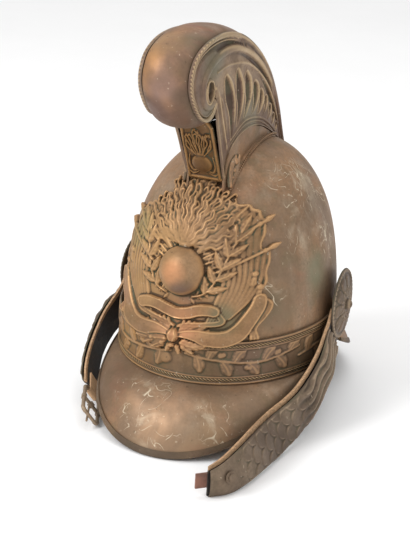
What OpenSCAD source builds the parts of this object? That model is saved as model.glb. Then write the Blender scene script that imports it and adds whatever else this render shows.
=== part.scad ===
// Fire brigade helmet in brass, with a tall fluted comb, an embossed front plate
// and two scaled chin straps that hang from rosettes.
// The origin is the centre of the head opening in the plane of the rim.
// The front faces -Y, the wearer's left is +X and up is +Z, all in millimetres.

/* [Skull] */
// Half width of the skull at the rim, over the brass
skull_half_width = 95; // [88:0.5:104]
// Half length of the skull at the rim, over the brass
skull_half_length = 109; // [102:0.5:118]
// Height of the crown above the rim
skull_height = 187; // [180:1:196]
// How far the crown lies behind the middle of the rim
crown_setback = 15; // [10:1:18]
// Thickness of the brass sheet of skull, visor, neck guard and comb
sheet = 1.2; // [0.8:0.1:1.6]

/* [Visor and neck guard] */
// How far the visor stands out in front of the skull
visor_reach = 50; // [40:1:54]
// How far the visor drops below the rim in front
visor_drop = 50; // [44:1:56]
// Angle from the middle of the front to each end of the visor
visor_angle = 75; // [66:1:80]
// How far the neck guard stands out behind the skull
guard_reach = 38; // [30:1:46]
// Angle from the middle of the back to each end of the neck guard
guard_angle = 68; // [60:1:74]
// Width of the folded brass edge on visor and neck guard
binding_width = 5; // [3:0.5:7]
// Thickness of the folded brass edge's wall
binding_wall = 0.8; // [0.6:0.1:1.2]

/* [Headband] */
// Height of the embossed band above the rim
band_height = 39.4; // [36:0.2:39.4]
// How far the rope mouldings stand off the skull
rope_proud = 3.8; // [3.4:0.1:5]
// Height of each rope moulding
rope_height = 7.4; // [6:0.2:9]

/* [Front plate] */
// Height of the flames' tip above the rim
plate_top = 161; // [150:1:166]
// Radius of the grenade's ball
ball_radius = 18; // [14:0.5:20]
// How far the ball stands proud
ball_proud = 14; // [8:0.5:17]
// Thickness of the plate's sheet
plate_sheet = 1.2; // [0.8:0.1:1.8]

/* [Comb] */
// Half width of the comb over its front volute
comb_half_width = 22; // [19:0.5:25]
// Half width of the comb at its tail
tail_half_width = 13; // [10:0.5:16]
// Height that the crest roll swells above the beads, at the front
roll_swell = 9; // [6:0.5:14]
// Number of flutes on each side
flutes = 10; // [8:1:12]
// Height of the ribs between the flutes
flute_depth = 2.2; // [1:0.1:3]
// Height of the bead along the comb's rim
bead_height = 2.4; // [1:0.1:3]

/* [Rosettes and straps] */
// Height of the rosette's centre above the rim
pivot_height = 44; // [44:0.5:50]
// How far the rosette's centre lies behind the middle of the rim
pivot_back = 18; // [12:1:24]
// Radius of the rosette
rosette_radius = 32; // [26:0.5:34]
// Radius of the stud on which a strap swings
stud_radius = 3; // [2.5:0.1:3.4]
// Width of the long strap at its middle
strap_width = 40; // [34:1:42]
// Thickness of the strap's leather
leather = 2; // [1.6:0.1:2.6]
// Thickness of the brass scales on the strap
scale_sheet = 0.8; // [0.6:0.1:1.2]
// How far the scales bow out from the leather
scale_bow = 4; // [2:0.5:6]
// Number of rows of scales on the long strap
scale_rows = 18; // [10:1:20]

/* [Buckle] */
// Radius of the buckle's wire
wire = 1.6; // [1.2:0.1:2]
// Length of the buckle's frame between its end bars' centres
buckle_length = 42; // [34:1:44]
// Width of the buckle's frame between its side bars' centres
buckle_width = 21; // [19:0.5:23]

/* [Liner] */
// Height of the leather sweatband
sweatband_height = 46; // [36:1:52]
// Number of leather tongues that meet under the crown
tongues = 8; // [6:1:10]
// Radius of the ring in which the lace draws the tongues together
lace_ring = 24; // [18:1:30]
// Radius of the lace
lace_radius = 1.5; // [1:0.1:2]

/* [Hidden] */

// Gap between pieces that seat on each other
seat = 0.3;
// Radial play of a stud or bar in its hole
play = 0.05;
// Exponents of the skull's fullness: along its height and towards the crown
skull_rise = 2.93;
skull_round = 2.32;
setback_bend = 1.2;
// Columns round the skull and rows up it
round_steps = 48;
skull_rows = 11;
// Height at which the visor and the guard end under the band
tuck = 9;
brass = [0.60, 0.49, 0.38];
bright = [0.72, 0.49, 0.31];
dark = [0.42, 0.36, 0.30];
hide = [0.20, 0.15, 0.12];
tan_hide = [0.66, 0.52, 0.38];

function unit(v) = v / norm(v);
function mix(a, b, f) = a + (b - a) * f;
function clamp(v, low, high) = min(max(v, low), high);
function ease(f) = let (g = clamp(f, 0, 1)) g * g * (3 - 2 * g);
function spline(p, q, r, s, f) =
    0.5 * (2 * q + (r - p) * f + (2 * p - 5 * q + 4 * r - s) * f * f
           + (3 * q - p - 3 * r + s) * f * f * f);

// The point at share u, from 0 to 1, of the smooth curve through a list of points
function along(pts, u) =
    let (n = len(pts) - 1, w = clamp(u, 0, 1) * n, i = min(floor(w), n - 1))
    spline(pts[max(i - 1, 0)], pts[i], pts[i + 1], pts[min(i + 2, n)], w - i);

// A closed sheet between two grids of points. Rows go up and columns go to the right,
// seen from the outer side.
module sheet_between(outer, inner, ring = false, poles = []) {
    rows = len(outer);
    cols = len(outer[0]);
    steps = ring ? cols : cols - 1;
    under = rows * cols;
    top = rows - 1;
    function at(r, c) = r * cols + c % cols;
    skins = [for (r = [0 : rows - 2], c = [0 : steps - 1]) each [
        [at(r, c), at(r + 1, c), at(r + 1, c + 1)],
        [at(r, c), at(r + 1, c + 1), at(r, c + 1)],
        [under + at(r, c), under + at(r + 1, c + 1), under + at(r + 1, c)],
        [under + at(r, c), under + at(r, c + 1), under + at(r + 1, c + 1)]]];
    foot = [for (c = [0 : steps - 1]) each [
        [at(0, c), at(0, c + 1), under + at(0, c + 1)],
        [at(0, c), under + at(0, c + 1), under + at(0, c)]]];
    head = poles == []
        ? [for (c = [0 : steps - 1]) each [
            [at(top, c + 1), at(top, c), under + at(top, c)],
            [at(top, c + 1), under + at(top, c), under + at(top, c + 1)]]]
        : [for (c = [0 : steps - 1]) each [
            [at(top, c + 1), at(top, c), 2 * under],
            [under + at(top, c), under + at(top, c + 1), 2 * under + 1]]];
    sides = ring ? [] : [for (r = [0 : rows - 2]) each [
        [at(r + 1, 0), at(r, 0), under + at(r, 0)],
        [at(r + 1, 0), under + at(r, 0), under + at(r + 1, 0)],
        [at(r, cols - 1), at(r + 1, cols - 1), under + at(r + 1, cols - 1)],
        [at(r, cols - 1), under + at(r + 1, cols - 1), under + at(r, cols - 1)]]];
    polyhedron(concat([for (row = outer) each row], [for (row = inner) each row], poles),
        concat(skins, foot, head, sides), convexity = 8);
}

// A solid through a row of rings with equal counts of points, closed at both ends
// or joined into a loop
module loft(rings, loop = false) {
    n = len(rings[0]);
    m = len(rings);
    steps = loop ? m : m - 1;
    walls = [for (k = [0 : steps - 1], j = [0 : n - 1])
        let (a = k * n, b = ((k + 1) % m) * n, i = (j + 1) % n) each [
        [a + j, b + j, b + i], [a + j, b + i, a + i]]];
    ends = loop ? [] : [for (j = [1 : n - 2]) each [
        [0, j, j + 1], [(m - 1) * n, (m - 1) * n + j + 1, (m - 1) * n + j]]];
    polyhedron([for (ring = rings) each ring], concat(walls, ends), convexity = 8);
}

// The skull: an egg whose level sections are ellipses
function level(k) = pow(sin(90 * k), 2 / skull_rise);
function shrink(t) = pow(max(1 - pow(t, skull_rise), 0), 1 / skull_round);
function setback(t) = crown_setback * pow(t, setback_bend);
function skull_normal(a, t) =
    let (k = skull_round * pow(max(shrink(t), 0.001), skull_round - 1),
         nx = k * sin(a) / skull_half_width,
         ny = -k * cos(a) / skull_half_length,
         slope = crown_setback * setback_bend * pow(max(t, 0), setback_bend - 1) / skull_height)
    unit([nx, ny, skull_rise * pow(max(t, 0), skull_rise - 1) / skull_height - ny * slope]);

// The point at angle a from the front and at height share t, off above the brass
function skull_at(a, t, off = 0) =
    let (h = max(t, 0))
    [skull_half_width * shrink(h) * sin(a),
     setback(h) - skull_half_length * shrink(h) * cos(a),
     skull_height * t] + off * skull_normal(a, h);

// The point of the skull below or above a point of the front view
function front_at(x, z, off) =
    let (t = z / skull_height)
    skull_at(asin(clamp(x / (skull_half_width * shrink(t)), -1, 1)), t, off);

// Share of the height at which the skull stands over a point of the plan
function crown_share(x, y, n = 6) =
    let (t = n == 0 ? 0.9 : crown_share(x, y, n - 1),
         r = norm([x / skull_half_width, (y - setback(t)) / skull_half_length]))
    pow(max(1 - pow(min(r, 1), skull_round), 0), 1 / skull_rise);
function crown_at(x, y, off = 0) =
    let (t = crown_share(x, y),
         a = atan2(x / skull_half_width, (setback(t) - y) / skull_half_length))
    [x, y, skull_height * t] + off * skull_normal(a, t);

function round_grid(off, low = 0) = [for (r = [0 : skull_rows - 1])
    [for (c = [0 : round_steps - 1])
        skull_at(360 * c / round_steps, low + (1 - low) * level(r / skull_rows), off)]];

module skull_shell() {
    sheet_between(round_grid(0), round_grid(-sheet), ring = true,
        poles = [[0, setback(1), skull_height], [0, setback(1), skull_height - sheet]]);
}

module skull() {
    color(brass) resize([0, 0, 0]) difference() {
        skull_shell();
        comb_stud_places() cylinder(h = 60, r = comb_stud_radius + seat, center = true, $fn = 12);
        plate_stud_places() cylinder(h = 20, r = plate_stud_radius + seat, center = true, $fn = 12);
        for (side = [0, 1]) mirror([side, 0, 0]) pivot_place() rotate([0, 90, 0])
            cylinder(h = 16, r = stud_radius + seat, center = true, $fn = 16);
    }
}

// The brims: rows of a sheet that leaves the rim under the band and runs out to the edge.
// share s goes from one end to the other, from -1 to 1, and v from the rim to the edge.
function brim_edge(s, mid, half, reach, drop, bend) =
    let (g = pow(max(cos(90 * s), 0), bend), a = mid + s * half,
         out = skull_at(a, 0, seat + sheet + 2.2 + (reach - 2.2) * g))
    [out[0], out[1], -2.6 - (drop - 2.6) * pow(max(cos(90 * s), 0), bend + 0.1)];
function brim_raw(s, v, mid, half, reach, drop, bend) =
    let (root = skull_at(mid + s * half, 0, seat + sheet),
         edge = brim_edge(s, mid, half, reach, drop, bend),
         swell = 0.16 * norm(edge - root) * sin(180 * v),
         out = unit([edge[0] - root[0], edge[1] - root[1], 0]))
    mix([root[0], root[1], -0.4], edge, v) + swell * unit(out + [0, 0, 1]);
function brim_normal(s, v, mid, half, reach, drop, bend) =
    let (e = 0.01,
         ds = brim_raw(s + e, v, mid, half, reach, drop, bend)
              - brim_raw(s - e, v, mid, half, reach, drop, bend),
         dv = brim_raw(s, v + e, mid, half, reach, drop, bend)
              - brim_raw(s, v - e, mid, half, reach, drop, bend))
    unit(cross(dv, ds));
function brim_at(s, v, off, mid, half, reach, drop, bend) =
    brim_raw(s, v, mid, half, reach, drop, bend)
    + off * brim_normal(s, v, mid, half, reach, drop, bend);

brim_steps = 20;
brim_rows = [0, 0.16, 0.34, 0.54, 0.77, 1];
brim_end = 0.97;
function brim_share(c) = brim_end * (2 * c / brim_steps - 1);

module brim(mid, half, reach, drop, bend) {
    function skin(off) = concat(
        [for (v = [for (i = [len(brim_rows) - 1 : -1 : 0]) brim_rows[i]])
            [for (c = [0 : brim_steps])
                brim_at(brim_share(c), v, off, mid, half, reach, drop, bend)]],
        [[for (c = [0 : brim_steps])
            skull_at(mid + brim_share(c) * half, tuck / skull_height, seat + sheet + off)]]);
    sheet_between(skin(0), skin(-sheet));
}

// The folded edge: a channel round the brim's edge
module brim_binding(mid, half, reach, drop, bend) {
    inner_gap = sheet / 2 + seat + 0.05;
    outer = inner_gap + binding_wall;
    function rail(c, leg, side, out) =
        let (s = brim_share(c),
             fade = 0.25 + 0.75 * pow(max(cos(90 * s), 0), 0.5),
             edge = brim_at(s, 1, -sheet / 2, mid, half, reach, drop, bend),
             n = brim_normal(s, 1, mid, half, reach, drop, bend),
             back = unit(brim_raw(s, 0.94, mid, half, reach, drop, bend)
                         - brim_raw(s, 1, mid, half, reach, drop, bend)))
        edge + back * leg * fade * binding_width + n * side - back * out;
    function path(h, tip) = [
        [for (c = [0 : brim_steps]) rail(c, 1, -h, 0)],
        [for (c = [0 : brim_steps]) rail(c, 0, -h, 0)],
        [for (c = [0 : brim_steps]) rail(c, 0, -h * 0.6, tip * 0.8)],
        [for (c = [0 : brim_steps]) rail(c, 0, h * 0.6, tip * 0.8)],
        [for (c = [0 : brim_steps]) rail(c, 0, h, 0)],
        [for (c = [0 : brim_steps]) rail(c, 1, h, 0)]];
    sheet_between(path(outer, outer), path(inner_gap, inner_gap));
}

visor_form = [0, visor_angle, visor_reach, visor_drop, 1.6];
guard_form = [180, guard_angle, guard_reach, visor_drop, 0.9];

module visor() {
    color(brass) brim(visor_form[0], visor_form[1], visor_form[2], visor_form[3], visor_form[4]);
}
module visor_binding() {
    color(dark) brim_binding(visor_form[0], visor_form[1], visor_form[2], visor_form[3],
        visor_form[4]);
}
module neck_guard() {
    color(brass) brim(guard_form[0], guard_form[1], guard_form[2], guard_form[3], guard_form[4]);
}
module neck_guard_binding() {
    color(dark) brim_binding(guard_form[0], guard_form[1], guard_form[2], guard_form[3],
        guard_form[4]);
}

// The band: a flat field between two rope mouldings
band_under = 2 * seat + sheet;
band_sheet = 0.8;
module headband() {
    field = band_under + band_sheet;
    section = [[band_under, 0.2], [band_under, band_height], [field + 1, band_height],
        [rope_proud, band_height - rope_height * 0.35],
        [rope_proud - 0.3, band_height - rope_height * 0.75],
        [field, band_height - rope_height], [field, rope_height],
        [rope_proud - 0.3, rope_height * 0.75], [rope_proud, rope_height * 0.35],
        [field + 1, 0.2]];
    color(brass) loft([for (c = [0 : round_steps - 1]) [for (p = section)
        skull_at(360 * c / round_steps, p[1] / skull_height, p[0])]], loop = true);
}

// The comb, drawn in side view as y and z with the half width as third value
rim_line = [
    [-92.5, 249, 24], [-99.5, 240.5, 24], [-110.5, 238.5, 24], [-122.5, 244, 24], [-133.5, 256, 24],
    [-140.5, 270, 24], [-139.5, 284, 24], [-129.5, 296, 24], [-108.5, 302.5, 24], [-82.5, 303, 23.8],
    [-59, 299.5, 23.3], [-36, 292, 22.6], [-12.5, 280, 21.8], [11, 264, 20.6],
    [33, 243.5, 18.9], [51, 220.5, 17], [65, 197, 15.2], [76, 175, 13.8], [83, 162.5, 13]];
eye_mid = [-104.5, 262.5];
eye_half = [4.5, 9];
front_line = [
    [-101, 270.5, 24.4], [-97, 261.5, 24.2], [-94, 253, 24], [-91, 245.5, 23.4],
    [-85.5, 236, 22.6], [-80.5, 223.5, 21.4], [-74.5, 210, 20.2], [-67, 191, 18.9],
    [-60, 172.5, 18]];
arch_line = [
    [-59.5, 175, 18], [-58.5, 185, 18.6], [-52, 196, 19.4], [-38, 203.5, 20], [-19, 206, 20],
    [1, 204, 19.6], [20, 198, 18.8], [40, 188.5, 17.4], [57, 179, 15.6], [70, 171, 14.2],
    [80, 164.5, 13]];
// The lines are drawn over a skull this high, and rise and fall with its crown
drawn_skull = 187;
crown_lift = skull_height - drawn_skull;
function widen(p) =
    let (f = (p[2] - 13) / 11)
    [p[0], p[1] + crown_lift, mix(tail_half_width, comb_half_width, f)];

scroll_steps = 14;
flute_steps = 4;
side_steps = scroll_steps + flutes * flute_steps;
scroll_share = 0.475;
front_flutes = 3;
front_steps = front_flutes * flute_steps;
function rim_share(i) = i <= scroll_steps
    ? scroll_share * i / scroll_steps
    : mix(scroll_share, 1, (i - scroll_steps) / (side_steps - scroll_steps));
function side_outer(i) = widen(along(rim_line, rim_share(i)));
function eye_at(w) = [eye_mid[0] - eye_half[0] * sin(w), eye_mid[1] + eye_half[1] * cos(w), 24.4];
function side_inner(i) =
    let (k = i - scroll_steps)
    k < 0 ? widen(eye_at(mix(250, -10, i / (scroll_steps - 1))))
    : k <= front_steps ? widen(along(front_line, k / front_steps))
    : widen(along(arch_line, (k - front_steps) / (side_steps - scroll_steps - front_steps)));

// Each row of a side is a distance in from the rim, as [share of the first cove,
// share of the second cove, share of the flutes, relief, relief between the ribs]
side_rows = [
    [-0.14, 0, 0, 0.2, 0], [0, 0, 0, 1, 0], [0.16, 0, 0, 0.1, 0], [0.55, 0, 0, -0.1, 0],
    [0.9, 0, 0, 0.1, 0], [1, 0, 0, 0.75, 0], [1, 0.22, 0, 0.1, 0], [1, 0.8, 0, 0.05, 0],
    [1, 1, 0, 0.7, 0], [1, 1, 0.07, 0.35, 0.2], [1, 1, 0.24, 0, 1], [1, 1, 0.6, 0, 0.9],
    [1, 1, 0.93, 0, 0.3], [1, 1, 1, 0.6, 0]];
function side_point(i, row) =
    let (o = side_outer(i), n = side_inner(i),
         length = norm([o[0] - n[0], o[1] - n[1]]),
         first = min(16, 0.34 * length),
         second = min(13, 0.26 * length),
         f = (row[0] * first + row[1] * second
              + row[2] * (length - first - second)) / length,
         rib = i > scroll_steps && i < side_steps ? [1, 0.25, 0, 0.25][i % flute_steps] : 0.5,
         p = mix(o, n, f))
    [p[2] + row[3] * bead_height + row[4] * rib * flute_depth, p[0], p[1]];

// A pressed side of the comb: the relief on its outer face, plain at the back
module comb_side() {
    rows = len(side_rows);
    cols = side_steps + 1;
    outer = [for (row = side_rows) each [for (i = [0 : side_steps]) side_point(i, row)]];
    function back(i, row) =
        let (p = side_point(i, row)) [mix(side_outer(i)[2], side_inner(i)[2],
            row == side_rows[0] ? 0 : 1) - sheet, p[1], p[2]];
    rim_back = [for (i = [0 : side_steps]) back(i, side_rows[0])];
    inner_back = [for (i = [0 : side_steps]) back(i, side_rows[rows - 1])];
    u = rows * cols;
    w = u + cols;
    skin = [for (r = [0 : rows - 2], c = [0 : cols - 2]) let (k = r * cols + c) each [
        [k, k + cols + 1, k + cols], [k, k + 1, k + cols + 1]]];
    behind = [for (c = [0 : cols - 2]) each [
        [u + c, w + c, w + c + 1], [u + c, w + c + 1, u + c + 1]]];
    rim_wall = [for (c = [0 : cols - 2]) each [[c, u + c + 1, c + 1], [c, u + c, u + c + 1]]];
    last = (rows - 1) * cols;
    inner_wall = [for (c = [0 : cols - 2]) each [
        [last + c + 1, w + c, last + c], [last + c + 1, w + c + 1, w + c]]];
    start_wall = concat([for (r = [0 : rows - 2]) [(r + 1) * cols, u, r * cols]],
        [[last, w, u]]);
    end_wall = concat([for (r = [0 : rows - 2])
        [r * cols + cols - 1, u + cols - 1, (r + 1) * cols + cols - 1]],
        [[u + cols - 1, w + cols - 1, last + cols - 1]]);
    polyhedron(concat(outer, rim_back, inner_back),
        concat(skin, behind, rim_wall, inner_wall, start_wall, end_wall), convexity = 10);
}
module comb_left_side() {
    color(dark) comb_side();
}
module comb_right_side() {
    color(dark) mirror([1, 0, 0]) comb_side();
}

// The crest: a roll that swells between the two rims
crest_steps = 30;
crest_cols = 8;
crest_line = concat([[-84.5, 237.5, 21], [-91.5, 235.5, 23]],
    [for (i = [2 : len(rim_line) - 1]) rim_line[i]]);
function crest_swell(u) = roll_swell * mix(0.25, 1, ease(u / 0.12))
    * mix(1, 0.36, ease((u - 0.3) / 0.7));
function crest_at(u, f, depth) =
    let (e = 0.004, p = widen(along(crest_line, u)),
         q = along(crest_line, u + e) - along(crest_line, u - e),
         n = unit([-q[1], q[0]]),
         half = p[2] - sheet - seat,
         rise = pow(max(1 - f * f, 0), 0.55) * crest_swell(u) - depth)
    [f * half, p[0] + n[0] * rise, p[1] + n[1] * rise];
function crest_share(c) = sin(90 * (2 * c / crest_cols - 1));
module comb_crest() {
    function skin(depth) = [for (r = [0 : crest_steps])
        [for (c = [0 : crest_cols]) crest_at(r / crest_steps, crest_share(c), depth)]];
    color(bright) sheet_between(skin(0), skin(sheet));
}

// The panel under the front volute, leaning back from the foot to the roll
mask_foot = [-57.5, 169 + crown_lift];
mask_head = [-84, 234 + crown_lift];
mask_half = widen(arch_line[0])[2] - sheet - seat;
mask_lean = atan2(mask_foot[0] - mask_head[0], mask_head[1] - mask_foot[1]);
mask_height = norm(mask_head - mask_foot);
module mask_place() {
    translate([0, mask_foot[0], mask_foot[1]]) rotate([90 + mask_lean, 0, 0]) children();
}
module comb_mask() {
    color(bright) resize([0, 0, 0]) mask_place() {
        linear_extrude(sheet) {
            translate([-mask_half, 0]) square([2 * mask_half, mask_height - mask_half]);
            translate([0, mask_height - mask_half]) circle(r = mask_half, $fn = 32);
        }
        translate([-mask_half + 0.4, 1, 0.4]) cube([2 * mask_half - 0.8, 3, sheet + 1.6]);
        dome([0, 20], 9.5, 6.5, false, 12);
        for (k = [-2 : 2])
            ridge([[k, 26 - abs(k)], [k * 3.4, 36], [k * 5, 43 - abs(k) * 2],
                [k * 4.6, 51 - abs(k) * 4]],
                [1.6, 2.4, 2, 0.3], [2.4, 3.2, 2.8, 1.4], false, 4);
    }
}

// Ornament laid on the plate or on a flat panel: p is a point of the front view
function laid(p, h, curved) = curved ? front_at(p[0], p[1], h + plate_lift(p[1])) : [p[0], p[1], h];
plate_in = 0.75;
function ornament_foot(curved) = curved ? plate_in : 0.3;
function plate_lift(z) = (rope_proud + 0.1) * (1 - ease((z - band_height - 3) / 9));

// A tapering ridge along a path, for flames, leaves, poles and ribbons
module ridge(path, widths, crests, curved, steps = 6) {
    low = ornament_foot(curved);
    e = 0.01;
    function ring(u) =
        let (p = along(path, u), q = along(path, min(u + e, 1)) - along(path, max(u - e, 0)),
             n = unit([q[1], -q[0]]), w = along(widths, u), h = along(crests, u))
        [laid(p - w * n, low + 0.6, curved), laid(p, h, curved),
         laid(p + w * n, low + 0.6, curved), laid(p, low + 0.5, curved)];
    loft([for (k = [0 : steps]) ring(k / steps)]);
}

// A ball or boss that swells out of the plate
module dome(mid, radius, proud, curved, steps = 16) {
    low = ornament_foot(curved);
    levels = [[1, 0], [1, 0.14], [0.86, 0.52], [0.6, 0.8], [0.28, 0.97]];
    rings = [for (q = levels) [for (k = [0 : steps - 1])
        laid(mid + q[0] * radius * [cos(360 * k / steps), sin(360 * k / steps)],
            low + 0.3 + q[1] * proud, curved)]];
    n = steps;
    m = len(rings);
    walls = [for (k = [0 : m - 2], j = [0 : n - 1]) let (i = (j + 1) % n) each [
        [k * n + j, (k + 1) * n + j, (k + 1) * n + i], [k * n + j, (k + 1) * n + i, k * n + i]]];
    caps = [for (j = [0 : n - 1]) let (i = (j + 1) % n) each [
        [j, i, m * n], [(m - 1) * n + i, (m - 1) * n + j, m * n + 1]]];
    polyhedron(concat([for (ring = rings) each ring],
        [laid(mid, low, curved), laid(mid, low + 0.3 + proud, curved)]),
        concat(walls, caps), convexity = 4);
}

// The front plate, drawn in front view: a sheet with the trophy standing on it
plate_rows = [[37, 30], [43, 54], [47, 59], [52, 63], [64, 66], [80, 61], [100, 60], [118, 56], [132, 48],
    [145, 37], [154, 20]];
plate_steps = 10;
module plate_base() {
    function skin(off) = [for (row = plate_rows) [for (c = [0 : plate_steps])
        laid([row[1] * (2 * c / plate_steps - 1), row[0]], off, true)]];
    sheet_between(skin(plate_in + plate_sheet), skin(plate_in));
}
function facing(p, side) = [p[0] * side, p[1]];
ball_height = 96.5;
flame_root = 112;
module plate_flames() {
    for (k = [-3 : 3]) {
        tip = plate_top - 4.6 * abs(k) - (k % 2 == 0 ? 0 : 4);
        ridge([[k * 2.6, flame_root], [k * 5.4 + 2, mix(flame_root, tip, 0.36)],
            [k * 9 - 2, mix(flame_root, tip, 0.7)], [k * 10 + 1.5, tip]],
            [3.4, 5, 3.8, 0.4], [4.4, 5.6, 4.6, 2.2], true, 4);
    }
}
module plate_flags(side) {
    poles = [[[30, 99], [60, 117]], [[22, 112], [50, 136]], [[15, 122], [24, 152]]];
    for (q = poles) {
        ridge([for (p = q) facing(p, side)], [1.6, 1.4], [4.2, 3.6], true, 3);
        head = unit(q[1] - q[0]);
        ridge([for (r = [-2, 3, 8]) facing(q[1] + r * head, side)], [1, 2.8, 0.3], [3, 3.8, 1.8],
            true, 2);
    }
    folds = [[[26, 144], [36, 147], [46, 140]], [[57, 112], [58, 92], [56, 78]],
        [[51, 110], [52, 90], [46, 66]], [[45, 106], [45, 88], [38, 66]]];
    for (q = folds)
        ridge([for (p = q) facing(p, side)], [2.6, 3.8, 3.2], [2.8, 3.8, 2.8], true, 3);
}
module plate_wreath(side) {
    branch = [[10, 74], [27, 79], [35, 95], [34, 112], [28, 126]];
    ridge([for (p = branch) facing(p, side)], [1.4, 1.4, 1.2, 1, 0.8], [4, 4.6, 4.6, 4.2, 3.6],
        true, 5);
    for (u = [0.25, 0.55, 0.85], out = [-1, 1]) {
        p = along(branch, u);
        t = unit(along(branch, u + 0.02) - p);
        w = t * 0.75 + out * [t[1], -t[0]] * 0.66;
        ridge([for (r = [0, 7, 15]) facing(p + w * r, side)], [0.8, 4, 0.4], [4, 5.2, 3.2],
            true, 2);
    }
}
module plate_ribbons() {
    upper = [[-36, 66], [-18, 67], [0, 62], [16, 67], [29, 67]];
    ridge(upper, [4.6, 5.4, 5.6, 5.4, 4.6], [4.8, 5.6, 6.2, 5.6, 4.8], true, 8);
    for (side = [-1, 1]) {
        tail = [[4.5, 44], [18, 44], [34, 43], [47, 50], [55, 66], [60, 75]];
        ridge([for (p = tail) facing(p, side)], [3.6, 5.2, 6.2, 6, 5, 3.4],
            [5.4, 5.2, 4.8, 4.6, 4.4, 4], true, 13);
    }
    dome([0, 44], 7, 6.5, true, 10);
}
module plate_oak() {
    for (k = [-2 : 2])
        ridge([[k * 3, 38], [k * 7, 33.5], [k * 12, 31 + abs(k)]], [2, 4.2, 0.5],
            [4.4, 4.8, 2.4], true, 3);
}
module front_plate() {
    color(bright) resize([0, 0, 0]) union() {
        plate_base();
        plate_flames();
        for (side = [-1, 1]) {
            plate_flags(side);
            plate_wreath(side);
        }
        plate_ribbons();
        plate_oak();
        dome([0, ball_height], ball_radius, ball_proud, true, 20);
    }
}

// The studs behind the plate pass through the skull and take a nut inside
plate_stud_radius = 1.5;
plate_stud_inside = 6;
nut_height = 2.4;
module on_normal(place, n) {
    translate(place) rotate([0, acos(n[2]), atan2(n[1], n[0])]) children();
}
function front_normal(x, z) =
    let (t = z / skull_height) skull_normal(asin(x / (skull_half_width * shrink(t))), t);
module plate_stud_places() {
    for (p = [[-44, 62], [44, 62], [0, 132]])
        on_normal(front_at(p[0], p[1], 0), front_normal(p[0], p[1])) children();
}
module nut(radius, bore, height) {
    difference() {
        cylinder(h = height, r = radius, $fn = 6);
        translate([0, 0, -1]) cylinder(h = height + 2, r = bore, $fn = 40);
    }
}
module plate_studs() {
    color(bright) plate_stud_places()
        translate([0, 0, -plate_stud_inside])
            cylinder(h = plate_stud_inside + seat, r = plate_stud_radius, $fn = 40);
}
module plate_nuts() {
    color(brass) plate_stud_places() translate([0, 0, -sheet - 2 * seat - nut_height])
        nut(2.6 * plate_stud_radius, plate_stud_radius + play, nut_height);
}

// The comb's foot: a wall from the arch down to the skull, with a narrow flange
foot_steps = 13;
foot_reach = 0.75;
foot_flange = 3.5;
foot_gap = 0.6;
module comb_foot() {
    function column(c) =
        let (p = widen(along(arch_line, foot_reach * c / foot_steps)))
        [[crown_at(p[2] + foot_flange, p[0], seat + sheet),
          crown_at(p[2], p[0], seat + sheet),
          [p[2], p[0], p[1] - foot_gap]],
         [crown_at(p[2] + foot_flange, p[0], seat), crown_at(p[2] - sheet, p[0], seat),
          [p[2] - sheet, p[0], p[1] - foot_gap]]];
    columns = [for (c = [0 : foot_steps]) column(c)];
    sheet_between([for (r = [0 : 2]) [for (q = columns) q[0][r]]],
        [for (r = [0 : 2]) [for (q = columns) q[1][r]]]);
}
module comb_left_foot() {
    color(dark) comb_foot();
}
module comb_right_foot() {
    color(dark) mirror([1, 0, 0]) comb_foot();
}

// Bars across the inside of the comb carry the studs that hold it on the skull
comb_stud_radius = 2.5;
comb_stud_inside = 9;
anchor_size = [10, 4];
anchor_rise = 6;
comb_stud_y = [-16, 26];
function arch_width(y, u = 0) =
    let (p = along(arch_line, u)) p[0] >= y || u >= 1 ? widen(p)[2] : arch_width(y, u + 0.02);
module comb_stud_places() {
    for (y = comb_stud_y) translate([0, y, crown_at(0, y)[2]]) children();
}
module comb_anchors() {
    for (y = comb_stud_y) {
        half = arch_width(y) - sheet - seat;
        color(brass) translate([-half, y - anchor_size[0] / 2, crown_at(0, y)[2] + anchor_rise])
            cube([2 * half, anchor_size[0], anchor_size[1]]);
    }
}
module comb_studs() {
    color(bright) comb_stud_places() translate([0, 0, -comb_stud_inside])
        cylinder(h = comb_stud_inside + anchor_rise, r = comb_stud_radius, $fn = 40);
}
module comb_nuts() {
    color(bright) comb_stud_places() translate([0, 0, -sheet - 1.5 - 4])
        nut(2.2 * comb_stud_radius, comb_stud_radius + play, 4);
}

// The pivot of a strap, on the wearer's left: x runs out along the stud
pivot_turn = 5;
pivot_share = pivot_height / skull_height;
pivot_angle = acos((setback(pivot_share) - pivot_back)
    / (skull_half_length * shrink(pivot_share)));
pivot_at = skull_at(pivot_angle, pivot_share);
hanger_in = rope_proud + 0.4;
hanger_tab = 0.6;
strap_in = hanger_in + hanger_tab + 0.1;
hanger_out = strap_in + leather;
rosette_in = hanger_out + seat;
rosette_bore = 4.2;
stud_inside = sheet + 4.5;
module pivot_place() {
    translate(pivot_at) rotate([0, 0, pivot_turn]) children();
}
module stud() {
    pivot_place() rotate([0, 90, 0]) {
        translate([0, 0, -stud_inside])
            cylinder(h = stud_inside + rosette_in + rosette_bore - seat, r = stud_radius, $fn = 60);
        translate([0, 0, 2 * seat])
            cylinder(h = hanger_in - 3 * seat, r = 1.4 * stud_radius, $fn = 60);
    }
}
module left_rosette_stud() {
    color(brass) stud();
}
module right_rosette_stud() {
    color(brass) mirror([1, 0, 0]) stud();
}
module rosette_nuts() {
    color(brass) for (side = [0, 1]) mirror([side, 0, 0]) pivot_place() rotate([0, -90, 0])
        translate([0, 0, sheet + 3 * seat]) nut(2 * stud_radius, stud_radius + play, 3);
}

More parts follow.
